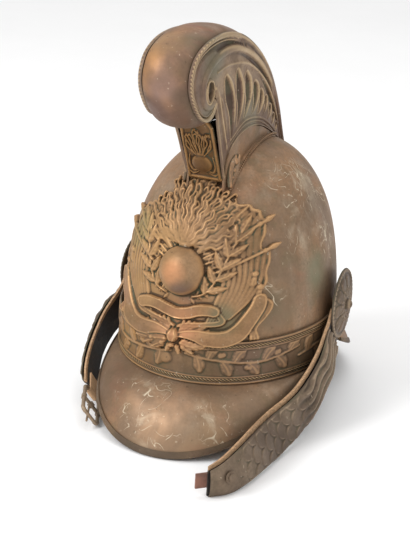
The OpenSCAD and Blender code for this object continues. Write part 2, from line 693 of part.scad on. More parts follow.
// A rosette: a dished disc with a beaded rim, a ring of petals and a knob
rosette_hub = 9;
rosette_hollow = 1.4;
rosette_lip = 3.4;
petals = 12;
module rosette() {
    r = rosette_radius;
    pivot_place() rotate([0, 90, 0]) translate([0, 0, rosette_in]) difference() {
        union() {
            rotate_extrude($fn = 96) polygon([[0, 0], [rosette_hub, 0],
                [rosette_hub + 1, rosette_hollow], [r - rosette_lip - 1, rosette_hollow],
                [r - rosette_lip, 0.2], [r - 0.5, 0.2], [r, 0.8], [r, 1.8], [r - 1.2, 2.6],
                [r - 2.6, 2.6], [r - 4, 2], [r * 0.72, 3.6], [r * 0.45, 5.4], [r * 0.25, 6], [0, 6]]);
            for (k = [0 : petals - 1]) rotate([0, 0, 360 * k / petals])
                translate([r * 0.62, 0, 1.4]) intersection() {
                    sphere(r = 5, $fn = 40);
                    translate([-6, -6, 0.4]) cube([12, 12, 8]);
                }
            translate([0, 0, 5]) cylinder(h = 2.4, r = 2.6, $fn = 40);
            translate([0, 0, 7.8]) sphere(r = 3.4, $fn = 40);
        }
        translate([0, 0, -1]) cylinder(h = rosette_bore + 1, r = stud_radius + play, $fn = 60);
    }
}
module left_rosette() {
    color(bright) rosette();
}
module right_rosette() {
    color(bright) mirror([1, 0, 0]) rosette();
}

// The straps, seen from the pivot of the wearer's left as [out, back, up]: the middle of the
// leather's inner face, and half its width for a strap 40 wide
long_strap = [
    [[strap_in, -10.4, -10.4], [strap_in + 0.3, -25.8, -23], [4.8, -53.4, -43.5],
     [-2.6, -87.4, -64.5], [-13.6, -124, -74.8], [-17.4, -149.7, -75.6], [-21.2, -175.9, -76.3],
     [-25.8, -196.1, -77.6], [-31.3, -209.1, -79.2], [-41, -218.1, -80.8]],
    [[0, -14.1, 14.1], [0, -14.6, 15.2], [-2.1, -13.4, 16.4], [-3.5, -8.7, 19],
     [-6.3, -3, 18.7], [-6.1, -1, 18.2], [-5, -0.5, 17.8], [-3.7, -1.1, 17.2],
     [-2.7, -1.8, 15.8], [0.9, -1.1, 14]]];
short_strap = [
    [[strap_in, -10.4, -10.4], [strap_in + 0.2, -24.1, -24], [8, -50.2, -39.5],
     [6.4, -68.3, -49.5], [2.1, -85, -59.5], [-4.5, -100, -70], [-12.5, -112.2, -79.5]],
    [[0, -14.1, 14.1], [0, -13.5, 14.5], [-0.8, -9.6, 14.5], [-0.6, -7.2, 13.8],
     [0.5, -7, 12.8], [3.4, -5.4, 11.6], [5.7, -3.87, 9.84]]];
function run(line, i) = i == 0 ? 0 : run(line, i - 1) + norm(line[i] - line[i - 1]);
function strap_length(form) = run(form[0], len(form[0]) - 1);
function strap_share(form, share) =
    let (n = len(form[0]) - 1)
    lookup(share * strap_length(form), [for (i = [0 : n]) [run(form[0], i), i / n]]);
function strap_middle(form, share) = along(form[0], strap_share(form, share));
function strap_half(form, share) = along(form[1], strap_share(form, share)) * strap_width / 40;
function strap_run(form, share) =
    let (e = 0.015)
    unit(strap_middle(form, min(share + e, 1)) - strap_middle(form, max(share - e, 0)));

// The point at a share of the strap's length, across from -1 to 1, and off the inner face
function strap_at(form, share, across, off) =
    let (half = strap_half(form, share))
    strap_middle(form, share) + across * half + off * unit(cross(half, strap_run(form, share)));

strap_cols = 22;
module strap_strip(form, low, high, first, last, reach = 1, cols = strap_cols) {
    function skin(off) = [for (w = [-1, 0, 1]) [for (c = [0 : cols])
        strap_at(form, mix(first, last, c / cols), w * reach, off)]];
    sheet_between(skin(low), skin(high));
}

// Rivets: two hold the leather to the hanger, and one holds the long strap's tip
rivet_radius = 1.5;
hanger_rivets = [19.5, 25.5];
tip_rivet = 0.93;
module hanger_rivet_places() {
    for (r = hanger_rivets) rotate([45, 0, 0]) translate([0, -r, 0]) rotate([0, 90, 0]) children();
}
module tip_rivet_place() {
    p = strap_at(long_strap, tip_rivet, 0, 0);
    n = strap_at(long_strap, tip_rivet, 0, 1) - p;
    on_normal(p, n) children();
}
module strap_leather(form) {
    difference() {
        strap_strip(form, 0, leather, 0, 1);
        hanger_rivet_places() translate([0, 0, hanger_in])
            cylinder(h = 8, r = rivet_radius + 0.15, $fn = 16);
        if (form == long_strap) tip_rivet_place()
            cylinder(h = 20, r = rivet_radius + 0.15, center = true, $fn = 16);
    }
}
module left_strap_leather() {
    color(hide) resize([0, 0, 0]) pivot_place() strap_leather(long_strap);
}
module right_strap_leather() {
    color(hide) resize([0, 0, 0]) mirror([1, 0, 0]) pivot_place() strap_leather(short_strap);
}

// The hanger turns on the stud and carries the leather on its tongue
hanger_reach = 30;
hanger_width = 16;
module strap_hanger() {
    pivot_place() difference() {
        union() {
            translate([hanger_in, 0, 0]) rotate([0, 90, 0])
                cylinder(h = hanger_out - hanger_in, r = 13, $fn = 96);
            rotate([45, 0, 0]) translate([hanger_in, -hanger_reach, -hanger_width / 2])
                cube([hanger_tab, hanger_reach, hanger_width]);
        }
        rotate([0, 90, 0]) cylinder(h = 20, r = stud_radius + play, $fn = 60);
        hanger_rivet_places() cylinder(h = 20, r = rivet_radius + play, $fn = 40);
    }
}
module left_strap_hanger() {
    color(brass) strap_hanger();
}
module right_strap_hanger() {
    color(brass) mirror([1, 0, 0]) strap_hanger();
}

// The brass scales: a bowed shell with a step at the end of each row
scale_edge = 1.04;
scale_step = 0.7;
scale_gap = seat + 0.1;
module strap_scales(form, rows, first, last, lift) {
    across = [-scale_edge, -0.9, -0.5, 0, 0.5, 0.9, scale_edge];
    pitch = (last - first) / rows;
    function bow(w, share) = lift * pow(max(1 - w * w, 0), 0.6)
        * ease((share - first) / 0.16);
    function stop(share) = clamp(share, first, last);
    function col(k, w) =
        let (row = floor(k / 2), end = k % 2,
             lobe = row + end < rows && k > 0 ? 0.45 * pitch * (1 - w * w) : 0)
        stop(first + pitch * (row + end * 0.96) + lobe - (k > 0 ? 0.25 * pitch : 0)
             + (row + end == rows ? 0.29 * pitch : 0));
    function skin(high) = [for (w = across) [for (k = [0 : 2 * rows - 1])
        let (share = col(k, w))
        strap_at(form, share, w, leather + scale_gap + bow(w, share)
            + high * (scale_sheet + (k % 2) * scale_step * ease((share - first) / 0.1)))]];
    difference() {
        sheet_between(skin(0), skin(1));
        if (form == long_strap) tip_rivet_place()
            cylinder(h = 30, r = rivet_radius + 0.15, center = true, $fn = 16);
    }
}
long_scales_first = 0.084;
short_scales_first = 0.15;
short_scales_last = 0.9;
module left_strap_scales() {
    color(dark) resize([0, 0, 0]) pivot_place()
        strap_scales(long_strap, scale_rows, long_scales_first, 0.995, scale_bow);
}
module right_strap_scales() {
    rows = round(scale_rows * strap_length(short_strap) / strap_length(long_strap) * 0.85);
    color(dark) resize([0, 0, 0]) mirror([1, 0, 0]) pivot_place()
        strap_scales(short_strap, rows, short_scales_first, short_scales_last, 1.5 * scale_bow);
}
module rivet(low, high) {
    translate([0, 0, low]) cylinder(h = high - low + 0.2, r = rivet_radius, $fn = 40);
    translate([0, 0, high]) cylinder(h = 0.6, r = 1.7 * rivet_radius, $fn = 40);
}
module hanger_rivet_pair() {
    pivot_place() hanger_rivet_places() rivet(hanger_in, hanger_out + 0.3);
}
module left_strap_rivets() {
    color(brass) hanger_rivet_pair();
    top = leather + scale_gap + scale_bow + scale_sheet + scale_step + 0.1;
    color(brass) pivot_place() tip_rivet_place() {
        rivet(-0.2, top);
        translate([0, 0, top]) cylinder(h = 1.2, r = 5.5, $fn = 48);
        translate([0, 0, top + 1]) cylinder(h = 1.2, r = 3.4, $fn = 48);
    }
}
module right_strap_rivets() {
    color(brass) mirror([1, 0, 0]) hanger_rivet_pair();
}

// A leather tab looks out past the long strap's tip, behind it
tab_sheet = 1.8;
tab_reach = 9;
module left_strap_tab() {
    function skin(off) = [for (w = [-0.5, 0, 0.5]) concat(
        [for (share = [0.86, 0.91, 0.96, 1]) strap_at(long_strap, share, w, off)],
        [for (q = [0.5, 1]) strap_at(long_strap, 1, w, off - 2 * q)
            + q * tab_reach * strap_run(long_strap, 1)])];
    color(tan_hide) pivot_place() sheet_between(skin(-seat - tab_sheet), skin(-seat));
}

// The short strap ends in a loop round the buckle's first bar
loop_sheet = 1.6;
loop_length = 12;
loop_out = wire + play + loop_sheet;
loop_middle = wire + play - seat;
loop_run = strap_run(short_strap, 1);
bar_axis = unit(strap_half(short_strap, 1));
bar_at = strap_at(short_strap, 1, 0, loop_middle) + (loop_out + 0.5) * loop_run;
module along_bar(length, radius) {
    on_normal(bar_at, bar_axis) translate([0, 0, -length / 2])
        cylinder(h = length, r = radius, $fn = 60);
}
module right_strap_loop() {
    reach = loop_length / 2 / norm(strap_half(short_strap, 1));
    function skin(off, past) = [for (w = [-1, 0, 1]) concat(
        [for (share = [0.9, 0.95, 1]) strap_at(short_strap, share, w * reach, off)],
        [strap_at(short_strap, 1, w * reach, off - past) + (loop_out + 0.5) * loop_run])];
    color(tan_hide) mirror([1, 0, 0]) pivot_place() difference() {
        union() {
            sheet_between(skin(-seat - loop_sheet, -0.35), skin(-seat, 0.25));
            along_bar(loop_length, loop_out);
        }
        along_bar(loop_length + 4, wire + play);
    }
}

// The buckle lies with x away from the loop, y along its bars and z outwards
buckle_lie = [-0.497, -0.865, -0.05];
buckle_x = unit(buckle_lie - (buckle_lie * bar_axis) * bar_axis);
buckle_y = -bar_axis;
buckle_z = cross(buckle_x, buckle_y);
module buckle_place() {
    multmatrix([[buckle_x[0], buckle_y[0], buckle_z[0], bar_at[0]],
                [buckle_x[1], buckle_y[1], buckle_z[1], bar_at[1]],
                [buckle_x[2], buckle_y[2], buckle_z[2], bar_at[2]], [0, 0, 0, 1]]) children();
}
corner = 4;
side_wire = wire + 0.15;
corner_wire = wire + 0.3;
bar_in = 0.3;
module bar(length, radius = wire) {
    rotate([90, 0, 0]) cylinder(h = length, r = radius, center = true, $fn = 48);
}
module buckle_corner() {
    rotate_extrude(angle = 90, $fn = 48) translate([corner, 0]) circle(r = corner_wire, $fn = 48);
}
mid_bar = buckle_length / 2;
sleeve_radius = 2.5;
sleeve_length = 5;
module buckle_frame() {
    half = buckle_width / 2;
    color(brass) mirror([1, 0, 0]) pivot_place() buckle_place() {
        for (x = [0, buckle_length]) translate([x, 0, 0])
            bar(buckle_width - 2 * (corner - bar_in));
        for (y = [-half, half]) translate([buckle_length / 2, y, 0]) rotate([0, 0, 90])
            bar(buckle_length - 2 * (corner - bar_in), side_wire);
        translate([corner, -half + corner, 0]) rotate([0, 0, 180]) buckle_corner();
        translate([corner, half - corner, 0]) rotate([0, 0, 90]) buckle_corner();
        translate([buckle_length - corner, half - corner, 0]) buckle_corner();
        translate([buckle_length - corner, -half + corner, 0]) rotate([0, 0, -90])
            buckle_corner();
        translate([mid_bar, 0, 0]) bar(buckle_width);
        for (y = [-half, half]) translate([mid_bar, y, 0]) rotate([0, 0, 90])
            bar(sleeve_length, sleeve_radius);
    }
}
prong_ring = 1.2;
prong_width = 4;
prong_rod = 1;
module buckle_prong() {
    ring = wire + play + prong_ring;
    from = [mid_bar + 1.4, 0, wire + play + 0.4];
    to = [buckle_length + 4, 0, wire + prong_rod + 0.7];
    color(bright) mirror([1, 0, 0]) pivot_place() buckle_place() difference() {
        union() {
            translate([mid_bar, 0, 0]) rotate([90, 0, 0])
                cylinder(h = prong_width, r = ring, center = true, $fn = 60);
            translate(from) rotate([0, 90 - atan2(to[2] - from[2], to[0] - from[0]), 0])
                cylinder(h = norm(to - from), r = prong_rod, $fn = 40);
            translate(to) sphere(r = prong_rod, $fn = 40);
        }
        translate([mid_bar, 0, 0]) rotate([90, 0, 0])
            cylinder(h = prong_width + 4, r = wire + play, center = true, $fn = 60);
    }
}

// The liner: a sweatband inside the rim, and leather tongues laced together under the crown
sweatband_sheet = 2;
sweatband_lean = 2.6;
sweatband_low = 1.5;
sweatband_rows = 3;
function sweatband_at(a, k, depth) = skull_at(a,
    mix(sweatband_low, sweatband_height, k / sweatband_rows) / skull_height,
    -sheet - seat - sweatband_lean * k - depth);
module sweatband() {
    cols = round_steps / 2;
    function skin(depth) = [for (k = [0 : sweatband_rows]) [for (c = [0 : cols - 1])
        sweatband_at(360 * c / cols, k, depth)]];
    color(hide) sheet_between(skin(0), skin(sweatband_sheet), ring = true);
}
tongue_sheet = 1.4;
tongue_half = 15;
hem_gap = 0.3;
hem_half = 5;
lace_height = skull_height - 42;
lace_back = 12;
function tongue_point(a, v, depth) =
    let (foot = sweatband_at(a, sweatband_rows - 0.4, sweatband_sheet + 1.1),
         ring = lace_ring + lace_radius + hem_gap + tongue_sheet / 2,
         tip = [ring * sin(a), lace_back - ring * cos(a), lace_height + tongue_sheet / 2],
         bend = mix(foot, tip, 0.3) + [0, 0, 38],
         p = (1 - v) * (1 - v) * foot + 2 * v * (1 - v) * bend + v * v * tip)
    p + depth * unit([-sin(a) * (1 - v), cos(a) * (1 - v), -v]);
module liner_tongues() {
    steps = 5;
    spread = atan(tongue_half / (skull_half_width - 14));
    tip_spread = atan(hem_half * 0.8 / lace_ring);
    function skin(mid, depth) = [for (r = [0 : steps]) let (v = r / steps)
        [for (w = [-1, 0, 1])
            tongue_point(mid + w * mix(spread, tip_spread, pow(v, 0.5)), v, depth)]];
    hem_turn = 2 * atan(hem_half / lace_ring);
    color(hide) for (k = [0 : tongues - 1]) {
        mid = 360 * (k + 0.5) / tongues;
        sheet_between(skin(mid, 0), skin(mid, tongue_sheet));
        translate([0, lace_back, lace_height]) rotate([0, 0, mid - 90 - hem_turn / 2])
            rotate_extrude(angle = hem_turn, $fn = 96) translate([lace_ring, 0]) difference() {
                circle(r = lace_radius + hem_gap + tongue_sheet, $fn = 40);
                circle(r = lace_radius + hem_gap, $fn = 40);
            }
    }
}
module liner_lace() {
    color(tan_hide) translate([0, lace_back, lace_height])
        rotate_extrude($fn = 96) translate([lace_ring, 0]) circle(r = lace_radius, $fn = 40);
}

skull();
visor();
visor_binding();
neck_guard();
neck_guard_binding();
headband();
front_plate();
comb_left_side();
comb_right_side();
comb_crest();
comb_mask();
comb_left_foot();
comb_right_foot();
comb_anchors();
comb_studs();
comb_nuts();
plate_studs();
plate_nuts();
left_rosette();
right_rosette();
left_rosette_stud();
right_rosette_stud();
rosette_nuts();
left_strap_hanger();
right_strap_hanger();
left_strap_leather();
right_strap_leather();
left_strap_scales();
right_strap_scales();
left_strap_rivets();
right_strap_rivets();
left_strap_tab();
right_strap_loop();
buckle_frame();
buckle_prong();
sweatband();
liner_tongues();
liner_lace();
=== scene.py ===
"""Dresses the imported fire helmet: embossed brass, scaled chin straps and a laced leather liner.

The origin is the centre of the head opening. The front faces -Y, the wearer's left is +X, +Z is up.
Sizes are worked out in millimetres and turned into metres where a mesh is made.
"""

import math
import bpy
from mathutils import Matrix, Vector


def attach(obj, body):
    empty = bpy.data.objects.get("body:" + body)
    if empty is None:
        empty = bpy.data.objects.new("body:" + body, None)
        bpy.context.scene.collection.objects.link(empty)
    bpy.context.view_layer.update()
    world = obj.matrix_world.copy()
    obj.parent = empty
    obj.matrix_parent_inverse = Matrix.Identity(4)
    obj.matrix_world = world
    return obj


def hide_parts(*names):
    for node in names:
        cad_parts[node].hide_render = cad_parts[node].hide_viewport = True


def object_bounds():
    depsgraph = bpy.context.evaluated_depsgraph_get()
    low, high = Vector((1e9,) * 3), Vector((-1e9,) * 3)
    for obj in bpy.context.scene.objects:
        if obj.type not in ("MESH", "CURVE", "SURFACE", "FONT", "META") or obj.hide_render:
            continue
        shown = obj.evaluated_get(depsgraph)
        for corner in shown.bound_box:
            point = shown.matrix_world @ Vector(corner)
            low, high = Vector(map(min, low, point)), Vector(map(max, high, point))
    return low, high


bl_info = {
    "name": "Brass Fire Helmet",
    "version": (1, 0, 0),
    "blender": (4, 5, 0),
    "location": "View3D > Sidebar > Helmet",
    "description": "Embossed brass, scaled chin straps and a laced leather liner on the packed helmet",
    "category": "Add Mesh",
}

import bpy
import numpy as np
from bpy.props import FloatProperty, FloatVectorProperty, IntProperty, PointerProperty
from mathutils import Matrix, Vector

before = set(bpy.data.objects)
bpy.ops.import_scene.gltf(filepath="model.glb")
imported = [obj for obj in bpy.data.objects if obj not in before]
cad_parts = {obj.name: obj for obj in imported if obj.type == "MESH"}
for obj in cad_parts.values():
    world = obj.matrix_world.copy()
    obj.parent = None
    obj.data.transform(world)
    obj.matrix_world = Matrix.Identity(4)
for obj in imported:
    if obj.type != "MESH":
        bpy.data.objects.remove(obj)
CAD_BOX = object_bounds()
MM = 0.001

# The helmet's own sizes, in millimetres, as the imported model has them
SKULL_HALF_WIDTH, SKULL_HALF_LENGTH, SKULL_HEIGHT = 95.0, 109.0, 187.0
CROWN_SETBACK, SETBACK_BEND = 15.0, 1.2
SKULL_RISE, SKULL_ROUND = 2.93, 2.32
# HAIR is a hair's breadth that keeps the faces of touching pieces apart
SHEET, SEAT, HAIR = 1.2, 0.3, 0.05
TUCK = 9.0
# Middle angle, half angle, reach, drop and bend of each brim
VISOR = (0, 75, 50, 50, 1.6)
GUARD = (180, 68, 38, 50, 0.9)
BRIM_END, BRIM_END_REACH, BRIM_END_DROP, BRIM_SWELL = 0.97, 2.2, 2.6, 0.16
BINDING_WIDTH, BINDING_WALL = 5.0, 0.8
BAND_HEIGHT, ROPE_PROUD = 39.4, 3.8
LOW_ROPE, LOW_MOULDING_TOP, HIGH_MOULDING_FOOT, HIGH_ROPE = 4.6, 8.2, 31.2, 34.9
BAND_UNDER, BAND_SHEET = 2 * SEAT + SHEET, 0.8
PLATE_IN, PLATE_SHEET = 0.75, 1.2
PLATE_MIDDLE, BALL_MIDDLE, BALL_RADIUS, BALL_PROUD = -3.0, 96.5, 20.3, 17.0
FLAME_ROOT, FLAME_TOP = 117.0, 168.4
COMB_HALF_WIDTH, TAIL_HALF_WIDTH = 22.0, 13.0
VOLUTE_BACK, VOLUTE_UP = -104.7, 261.3
ROLL_SWELL, BEAD_HEIGHT, RIM_BEAD, INNER_BEAD = 9.0, 2.4, 2.2, 1.7
PIVOT_HEIGHT, PIVOT_BACK, PIVOT_TURN = 44.0, 18.0, 5.0
ROSETTE_RADIUS, ROSETTE_KNOB, LEATHER = 32.0, 4.6, 2.0
SCALE_SHEET, SCALE_BOW, SCALE_ROWS, SHORT_SCALE_ROWS = 0.8, 4.0, 18, 8
# Edges of the scales across a strap, in half widths
SCALE_LOW, SCALE_HIGH, SCALE_EDGE = -1.04, 0.84, 0.08
HANGER_IN = ROPE_PROUD + 0.4
STRAP_IN = HANGER_IN + 0.7
ROSETTE_IN = STRAP_IN + LEATHER + SEAT
SWEATBAND_HEIGHT, SWEATBAND_LOW, SWEATBAND_LEAN, SWEATBAND_SHEET = 46.0, 1.5, 2.6, 2.0
TONGUES, TONGUE_HALF, TONGUE_SHEET, TONGUE_BOW, HEM_HALF = 8, 15.0, 1.4, 38, 5.0
TONGUE_ROOM = SKULL_HALF_WIDTH - 14
LACE_RING, LACE_RADIUS, LACE_BACK, LACE_HEIGHT = 24.0, 1.5, 12.0, 145.0
HEM_MIDDLE = LACE_RADIUS + SEAT + TONGUE_SHEET / 2

# Points along the twisted rope, and round the rings that ropes, stitches and lace follow
ROPE_POINTS, RING_POINTS, STITCH_POINTS, LACE_POINTS = 2400, 360, 240, 96
LACE_TWIST, LACE_STEPS = 72, 480
STITCH_LENGTH, STITCH_RADIUS = 1.8 * MM, 0.42 * MM


# Settings of the panel
def metres(name, description, default, low, high):
    """A length setting."""
    return FloatProperty(
        name=name, description=description, default=default, min=low, max=high, unit="LENGTH"
    )


def whole(name, description, default, low, high):
    """A whole number setting."""
    return IntProperty(name=name, description=description, default=default, min=low, max=high)


def paint(name, description, default):
    """A colour setting."""
    return FloatVectorProperty(
        name=name, description=description, default=default, subtype="COLOR", size=3, min=0, max=1
    )


class HelmetSizes(bpy.types.PropertyGroup):
    """Sizes of the ornament that a user would change"""

    flame_relief: metres(
        "Flame relief", "How far each tongue of the plate's flames stands out",
        0.0016, 0.0006, 0.006,
    )
    rope_radius: metres(
        "Rope radius", "Radius of the twisted rope on the headband's mouldings",
        0.0017, 0.0006, 0.002,
    )
    rope_turns: whole(
        "Rope turns", "Quarter turns of the rope's strands round the headband", 200, 60, 400
    )
    flute_depth: metres(
        "Flute depth", "Depth of the largest hollow pressed into the comb's sides",
        0.0056, 0.001, 0.008,
    )
    scale_relief: metres(
        "Scale relief", "Step at the free edge of each scale on the straps", 0.0021, 0.0004, 0.003
    )
    petals: whole("Petals", "Number of petals round each rosette", 10, 6, 16)
    stitch_pitch: metres(
        "Stitch pitch", "Distance from stitch to stitch along the sweatband", 0.0055, 0.003, 0.012
    )


class HelmetFinish(bpy.types.PropertyGroup):
    """Colours of the aged metal and leather"""

    brown_brass: paint("Brown brass", "Colour of the dome's brown patina", (0.262, 0.172, 0.106))
    # Also the colour of the painted highlight laid on the crests
    warm_brass: paint(
        "Warm brass", "Colour of the brass where hands have kept it bright", (0.43, 0.22, 0.095)
    )
    # Mixed with a dark copy of the brass, it darkens the hollows: crust and painted shade
    verdigris_and_shade: paint(
        "Verdigris", "Colour of the green crust in the recesses", (0.075, 0.072, 0.04)
    )
    bare_scratch: paint(
        "Bare scratch", "Colour of the metal where the patina is scratched through",
        (0.62, 0.52, 0.38),
    )
    black_hide: paint(
        "Black hide", "Colour of the leather's worn black face", (0.024, 0.019, 0.016)
    )
    tan_hide: paint(
        "Tan hide", "Colour of the leather's cut edges and of bare leather", (0.46, 0.28, 0.15)
    )


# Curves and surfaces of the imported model
def threes(a, b, c):
    """Three arrays or numbers side by side, as points or as triangles."""
    return np.stack(np.broadcast_arrays(a, b, c), -1)


def unit(v):
    """The vectors at length one."""
    return v / np.maximum(np.linalg.norm(v, axis=-1, keepdims=True), 1e-12)


def ease(f):
    """A smooth step from 0 to 1."""
    g = np.clip(f, 0, 1)
    return g * g * (3 - 2 * g)


def mix(a, b, f):
    """The value at share f of the way from a to b."""
    return a + (b - a) * f


def toward(angle):
    """The direction at an angle in degrees, in a plane."""
    return np.array([math.cos(math.radians(angle)), math.sin(math.radians(angle))])


def turned(d, turn):
    """A direction in a plane, turned by an angle in radians."""
    c, s = math.cos(turn), math.sin(turn)
    return np.array([d[0] * c - d[1] * s, d[0] * s + d[1] * c])


def along(points, u):
    """The points at shares u of the smooth curve through a list of points."""
    pts = np.asarray(points, float)
    if pts.ndim == 1:
        pts = pts[:, None]
    n = len(pts) - 1
    w = np.clip(np.atleast_1d(np.asarray(u, float)), 0, 1) * n
    i = np.minimum(np.floor(w).astype(int), n - 1)
    f = (w - i)[:, None]
    p, q = pts[np.maximum(i - 1, 0)], pts[i]
    r, s = pts[i + 1], pts[np.minimum(i + 2, n)]
    made = 0.5 * (
        2 * q
        + (r - p) * f
        + (2 * p - 5 * q + 4 * r - s) * f * f
        + (3 * q - p - 3 * r + s) * f**3
    )
    return made[:, 0] if made.shape[1] == 1 else made


def shrink(t):
    """Share of the rim's width that the skull has at a share of its height."""
    return np.maximum(1 - np.maximum(t, 0) ** SKULL_RISE, 0) ** (1 / SKULL_ROUND)


def skull_at(angle, t, off=0.0):
    """Points of the skull at an angle from the front and a share of the height, off above the brass."""
    angle, t, off = np.broadcast_arrays(np.radians(angle), np.asarray(t, float), off)
    h = np.maximum(t, 0)
    s = shrink(h)
    k = SKULL_ROUND * np.maximum(s, 0.001) ** (SKULL_ROUND - 1)
    nx = k * np.sin(angle) / SKULL_HALF_WIDTH
    ny = -k * np.cos(angle) / SKULL_HALF_LENGTH
    slope = CROWN_SETBACK * SETBACK_BEND * h ** (SETBACK_BEND - 1) / SKULL_HEIGHT
    nz = SKULL_RISE * h ** (SKULL_RISE - 1) / SKULL_HEIGHT - ny * slope
    normal = unit(threes(nx, ny, nz))
    place = threes(
        SKULL_HALF_WIDTH * s * np.sin(angle),
        CROWN_SETBACK * h**SETBACK_BEND - SKULL_HALF_LENGTH * s * np.cos(angle),
        SKULL_HEIGHT * t,
    )
    return place + off[..., None] * normal


def front_at(x, z, off=0.0):
    """Points of the skull behind points of the front view."""
    t = z / SKULL_HEIGHT
    share = np.clip(x / (SKULL_HALF_WIDTH * shrink(t)), -1, 1)
    return skull_at(np.degrees(np.arcsin(share)), t, off)


def brim_raw(s, v, form):
    """Points of a brim: s from end to end, v from the rim to the edge."""
    mid, half, reach, drop, bend = form
    lobe = np.maximum(np.cos(np.radians(90 * s)), 0)
    root = skull_at(mid + s * half, 0.0, SEAT + SHEET)
    rise = SEAT + SHEET + BRIM_END_REACH + (reach - BRIM_END_REACH) * lobe**bend
    edge = skull_at(mid + s * half, 0.0, rise)
    fall = -BRIM_END_DROP - (drop - BRIM_END_DROP) * lobe ** (bend + 0.1)
    edge = threes(edge[..., 0], edge[..., 1], fall)
    run = edge - root
    swell = BRIM_SWELL * np.linalg.norm(run, axis=-1) * np.sin(np.pi * v)
    out = run * np.array([1, 1, 0])
    lift = unit(unit(out) + np.array([0, 0, 1.0]))
    root = threes(root[..., 0], root[..., 1], -0.4)
    return mix(root, edge, v[..., None]) + swell[..., None] * lift


def brim_normal(s, v, form):
    """Outer normals of a brim."""
    e = 0.01
    ds = brim_raw(s + e, v, form) - brim_raw(s - e, v, form)
    dv = brim_raw(s, v + e, form) - brim_raw(s, v - e, form)
    return unit(np.cross(dv, ds))


# Lines of the comb in side view: back, up, and half width as the drawing has it, from 13 to 24
TAIL_MARK, VOLUTE_MARK = 13, 24
RIM_LINE = [
    [-92.5, 249, 24], [-99.5, 240.5, 24], [-110.5, 238.5, 24], [-122.5, 244, 24],
    [-133.5, 256, 24], [-140.5, 270, 24], [-139.5, 284, 24], [-129.5, 296, 24],
    [-108.5, 302.5, 24], [-82.5, 303, 23.8], [-59, 299.5, 23.3], [-36, 292, 22.6],
    [-12.5, 280, 21.8], [11, 264, 20.6], [33, 243.5, 18.9], [51, 220.5, 17],
    [65, 197, 15.2], [76, 175, 13.8], [83, 162.5, 13],
]
FRONT_LINE = [
    [-101, 270.5, 24.4], [-97, 261.5, 24.2], [-94, 253, 24], [-91, 245.5, 23.4],
    [-85.5, 236, 22.6], [-80.5, 223.5, 21.4], [-74.5, 210, 20.2], [-67, 191, 18.9],
    [-60, 172.5, 18],
]
ARCH_LINE = [
    [-59.5, 175, 18], [-58.5, 185, 18.6], [-52, 196, 19.4], [-38, 203.5, 20],
    [-19, 206, 20], [1, 204, 19.6], [20, 198, 18.8], [40, 188.5, 17.4], [57, 179, 15.6],
    [70, 171, 14.2], [80, 164.5, 13],
]
EYE_MID, EYE_HALF = (-104.5, 262.5), (4.5, 9.0)
CREST_LINE = [[-84.5, 237.5, 21], [-91.5, 235.5, 23]] + RIM_LINE[2:]
SCROLL_STEPS, SIDE_STEPS, SCROLL_SHARE, FRONT_STEPS = 14, 54, 0.475, 12


def widen(p):
    """Points of the comb's side view with the half width between the tail's and the volute's."""
    f = (p[:, 2] - TAIL_MARK) / (VOLUTE_MARK - TAIL_MARK)
    return np.column_stack([p[:, 0], p[:, 1], mix(TAIL_HALF_WIDTH, COMB_HALF_WIDTH, f)])


def comb_outer(i):
    """Points of the comb's rim at steps i."""
    share = np.where(
        i <= SCROLL_STEPS,
        SCROLL_SHARE * i / SCROLL_STEPS,
        mix(SCROLL_SHARE, 1, (i - SCROLL_STEPS) / (SIDE_STEPS - SCROLL_STEPS)),
    )
    return widen(along(RIM_LINE, share))


def comb_inner(i):
    """Points of the comb's inner line at steps i: the volute's eye, the front edge, then the arch."""
    k = i - SCROLL_STEPS
    turn = np.radians(mix(250, -10, np.clip(i / (SCROLL_STEPS - 1), 0, 1)))
    eye = threes(
        EYE_MID[0] - EYE_HALF[0] * np.sin(turn), EYE_MID[1] + EYE_HALF[1] * np.cos(turn), 24.4
    )
    front = along(FRONT_LINE, k / FRONT_STEPS)
    rest = SIDE_STEPS - SCROLL_STEPS - FRONT_STEPS
    arch = along(ARCH_LINE, (k - FRONT_STEPS) / rest)
    join = np.clip(i - (SCROLL_STEPS - 1), 0, 1)[:, None]
    start = mix(eye, front, join)
    return widen(np.where((k <= FRONT_STEPS)[:, None], start, arch))


# Each strap's middle line and its half widths, in its pivot's frame
LONG_STRAP = (
    [
        [STRAP_IN, -10.4, -10.4], [STRAP_IN + 0.3, -25.8, -23], [4.8, -53.4, -43.5],
        [-2.6, -87.4, -64.5], [-13.6, -124, -74.8], [-17.4, -149.7, -75.6],
        [-21.2, -175.9, -76.3], [-25.8, -196.1, -77.6], [-31.3, -209.1, -79.2],
        [-41, -218.1, -80.8],
    ],
    [
        [0, -14.1, 14.1], [0, -14.6, 15.2], [-2.1, -13.4, 16.4], [-3.5, -8.7, 19],
        [-6.3, -3, 18.7], [-6.1, -1, 18.2], [-5, -0.5, 17.8], [-3.7, -1.1, 17.2],
        [-2.7, -1.8, 15.8], [0.9, -1.1, 14],
    ],
)
SHORT_STRAP = (
    [
        [STRAP_IN, -10.4, -10.4], [STRAP_IN + 0.2, -24.1, -24], [8, -50.2, -39.5],
        [6.4, -68.3, -49.5], [2.1, -85, -59.5], [-4.5, -100, -70], [-12.5, -112.2, -79.5],
    ],
    [
        [0, -14.1, 14.1], [0, -13.5, 14.5], [-0.8, -9.6, 14.5], [-0.6, -7.2, 13.8],
        [0.5, -7, 12.8], [3.4, -5.4, 11.6], [5.7, -3.87, 9.84],
    ],
)


def strap_share(form, share):
    """Share along a strap's list of points at a share of its length."""
    pts = np.asarray(form[0], float)
    run = np.concatenate([[0], np.cumsum(np.linalg.norm(np.diff(pts, axis=0), axis=1))])
    return np.interp(share * run[-1], run, np.linspace(0, 1, len(pts)))


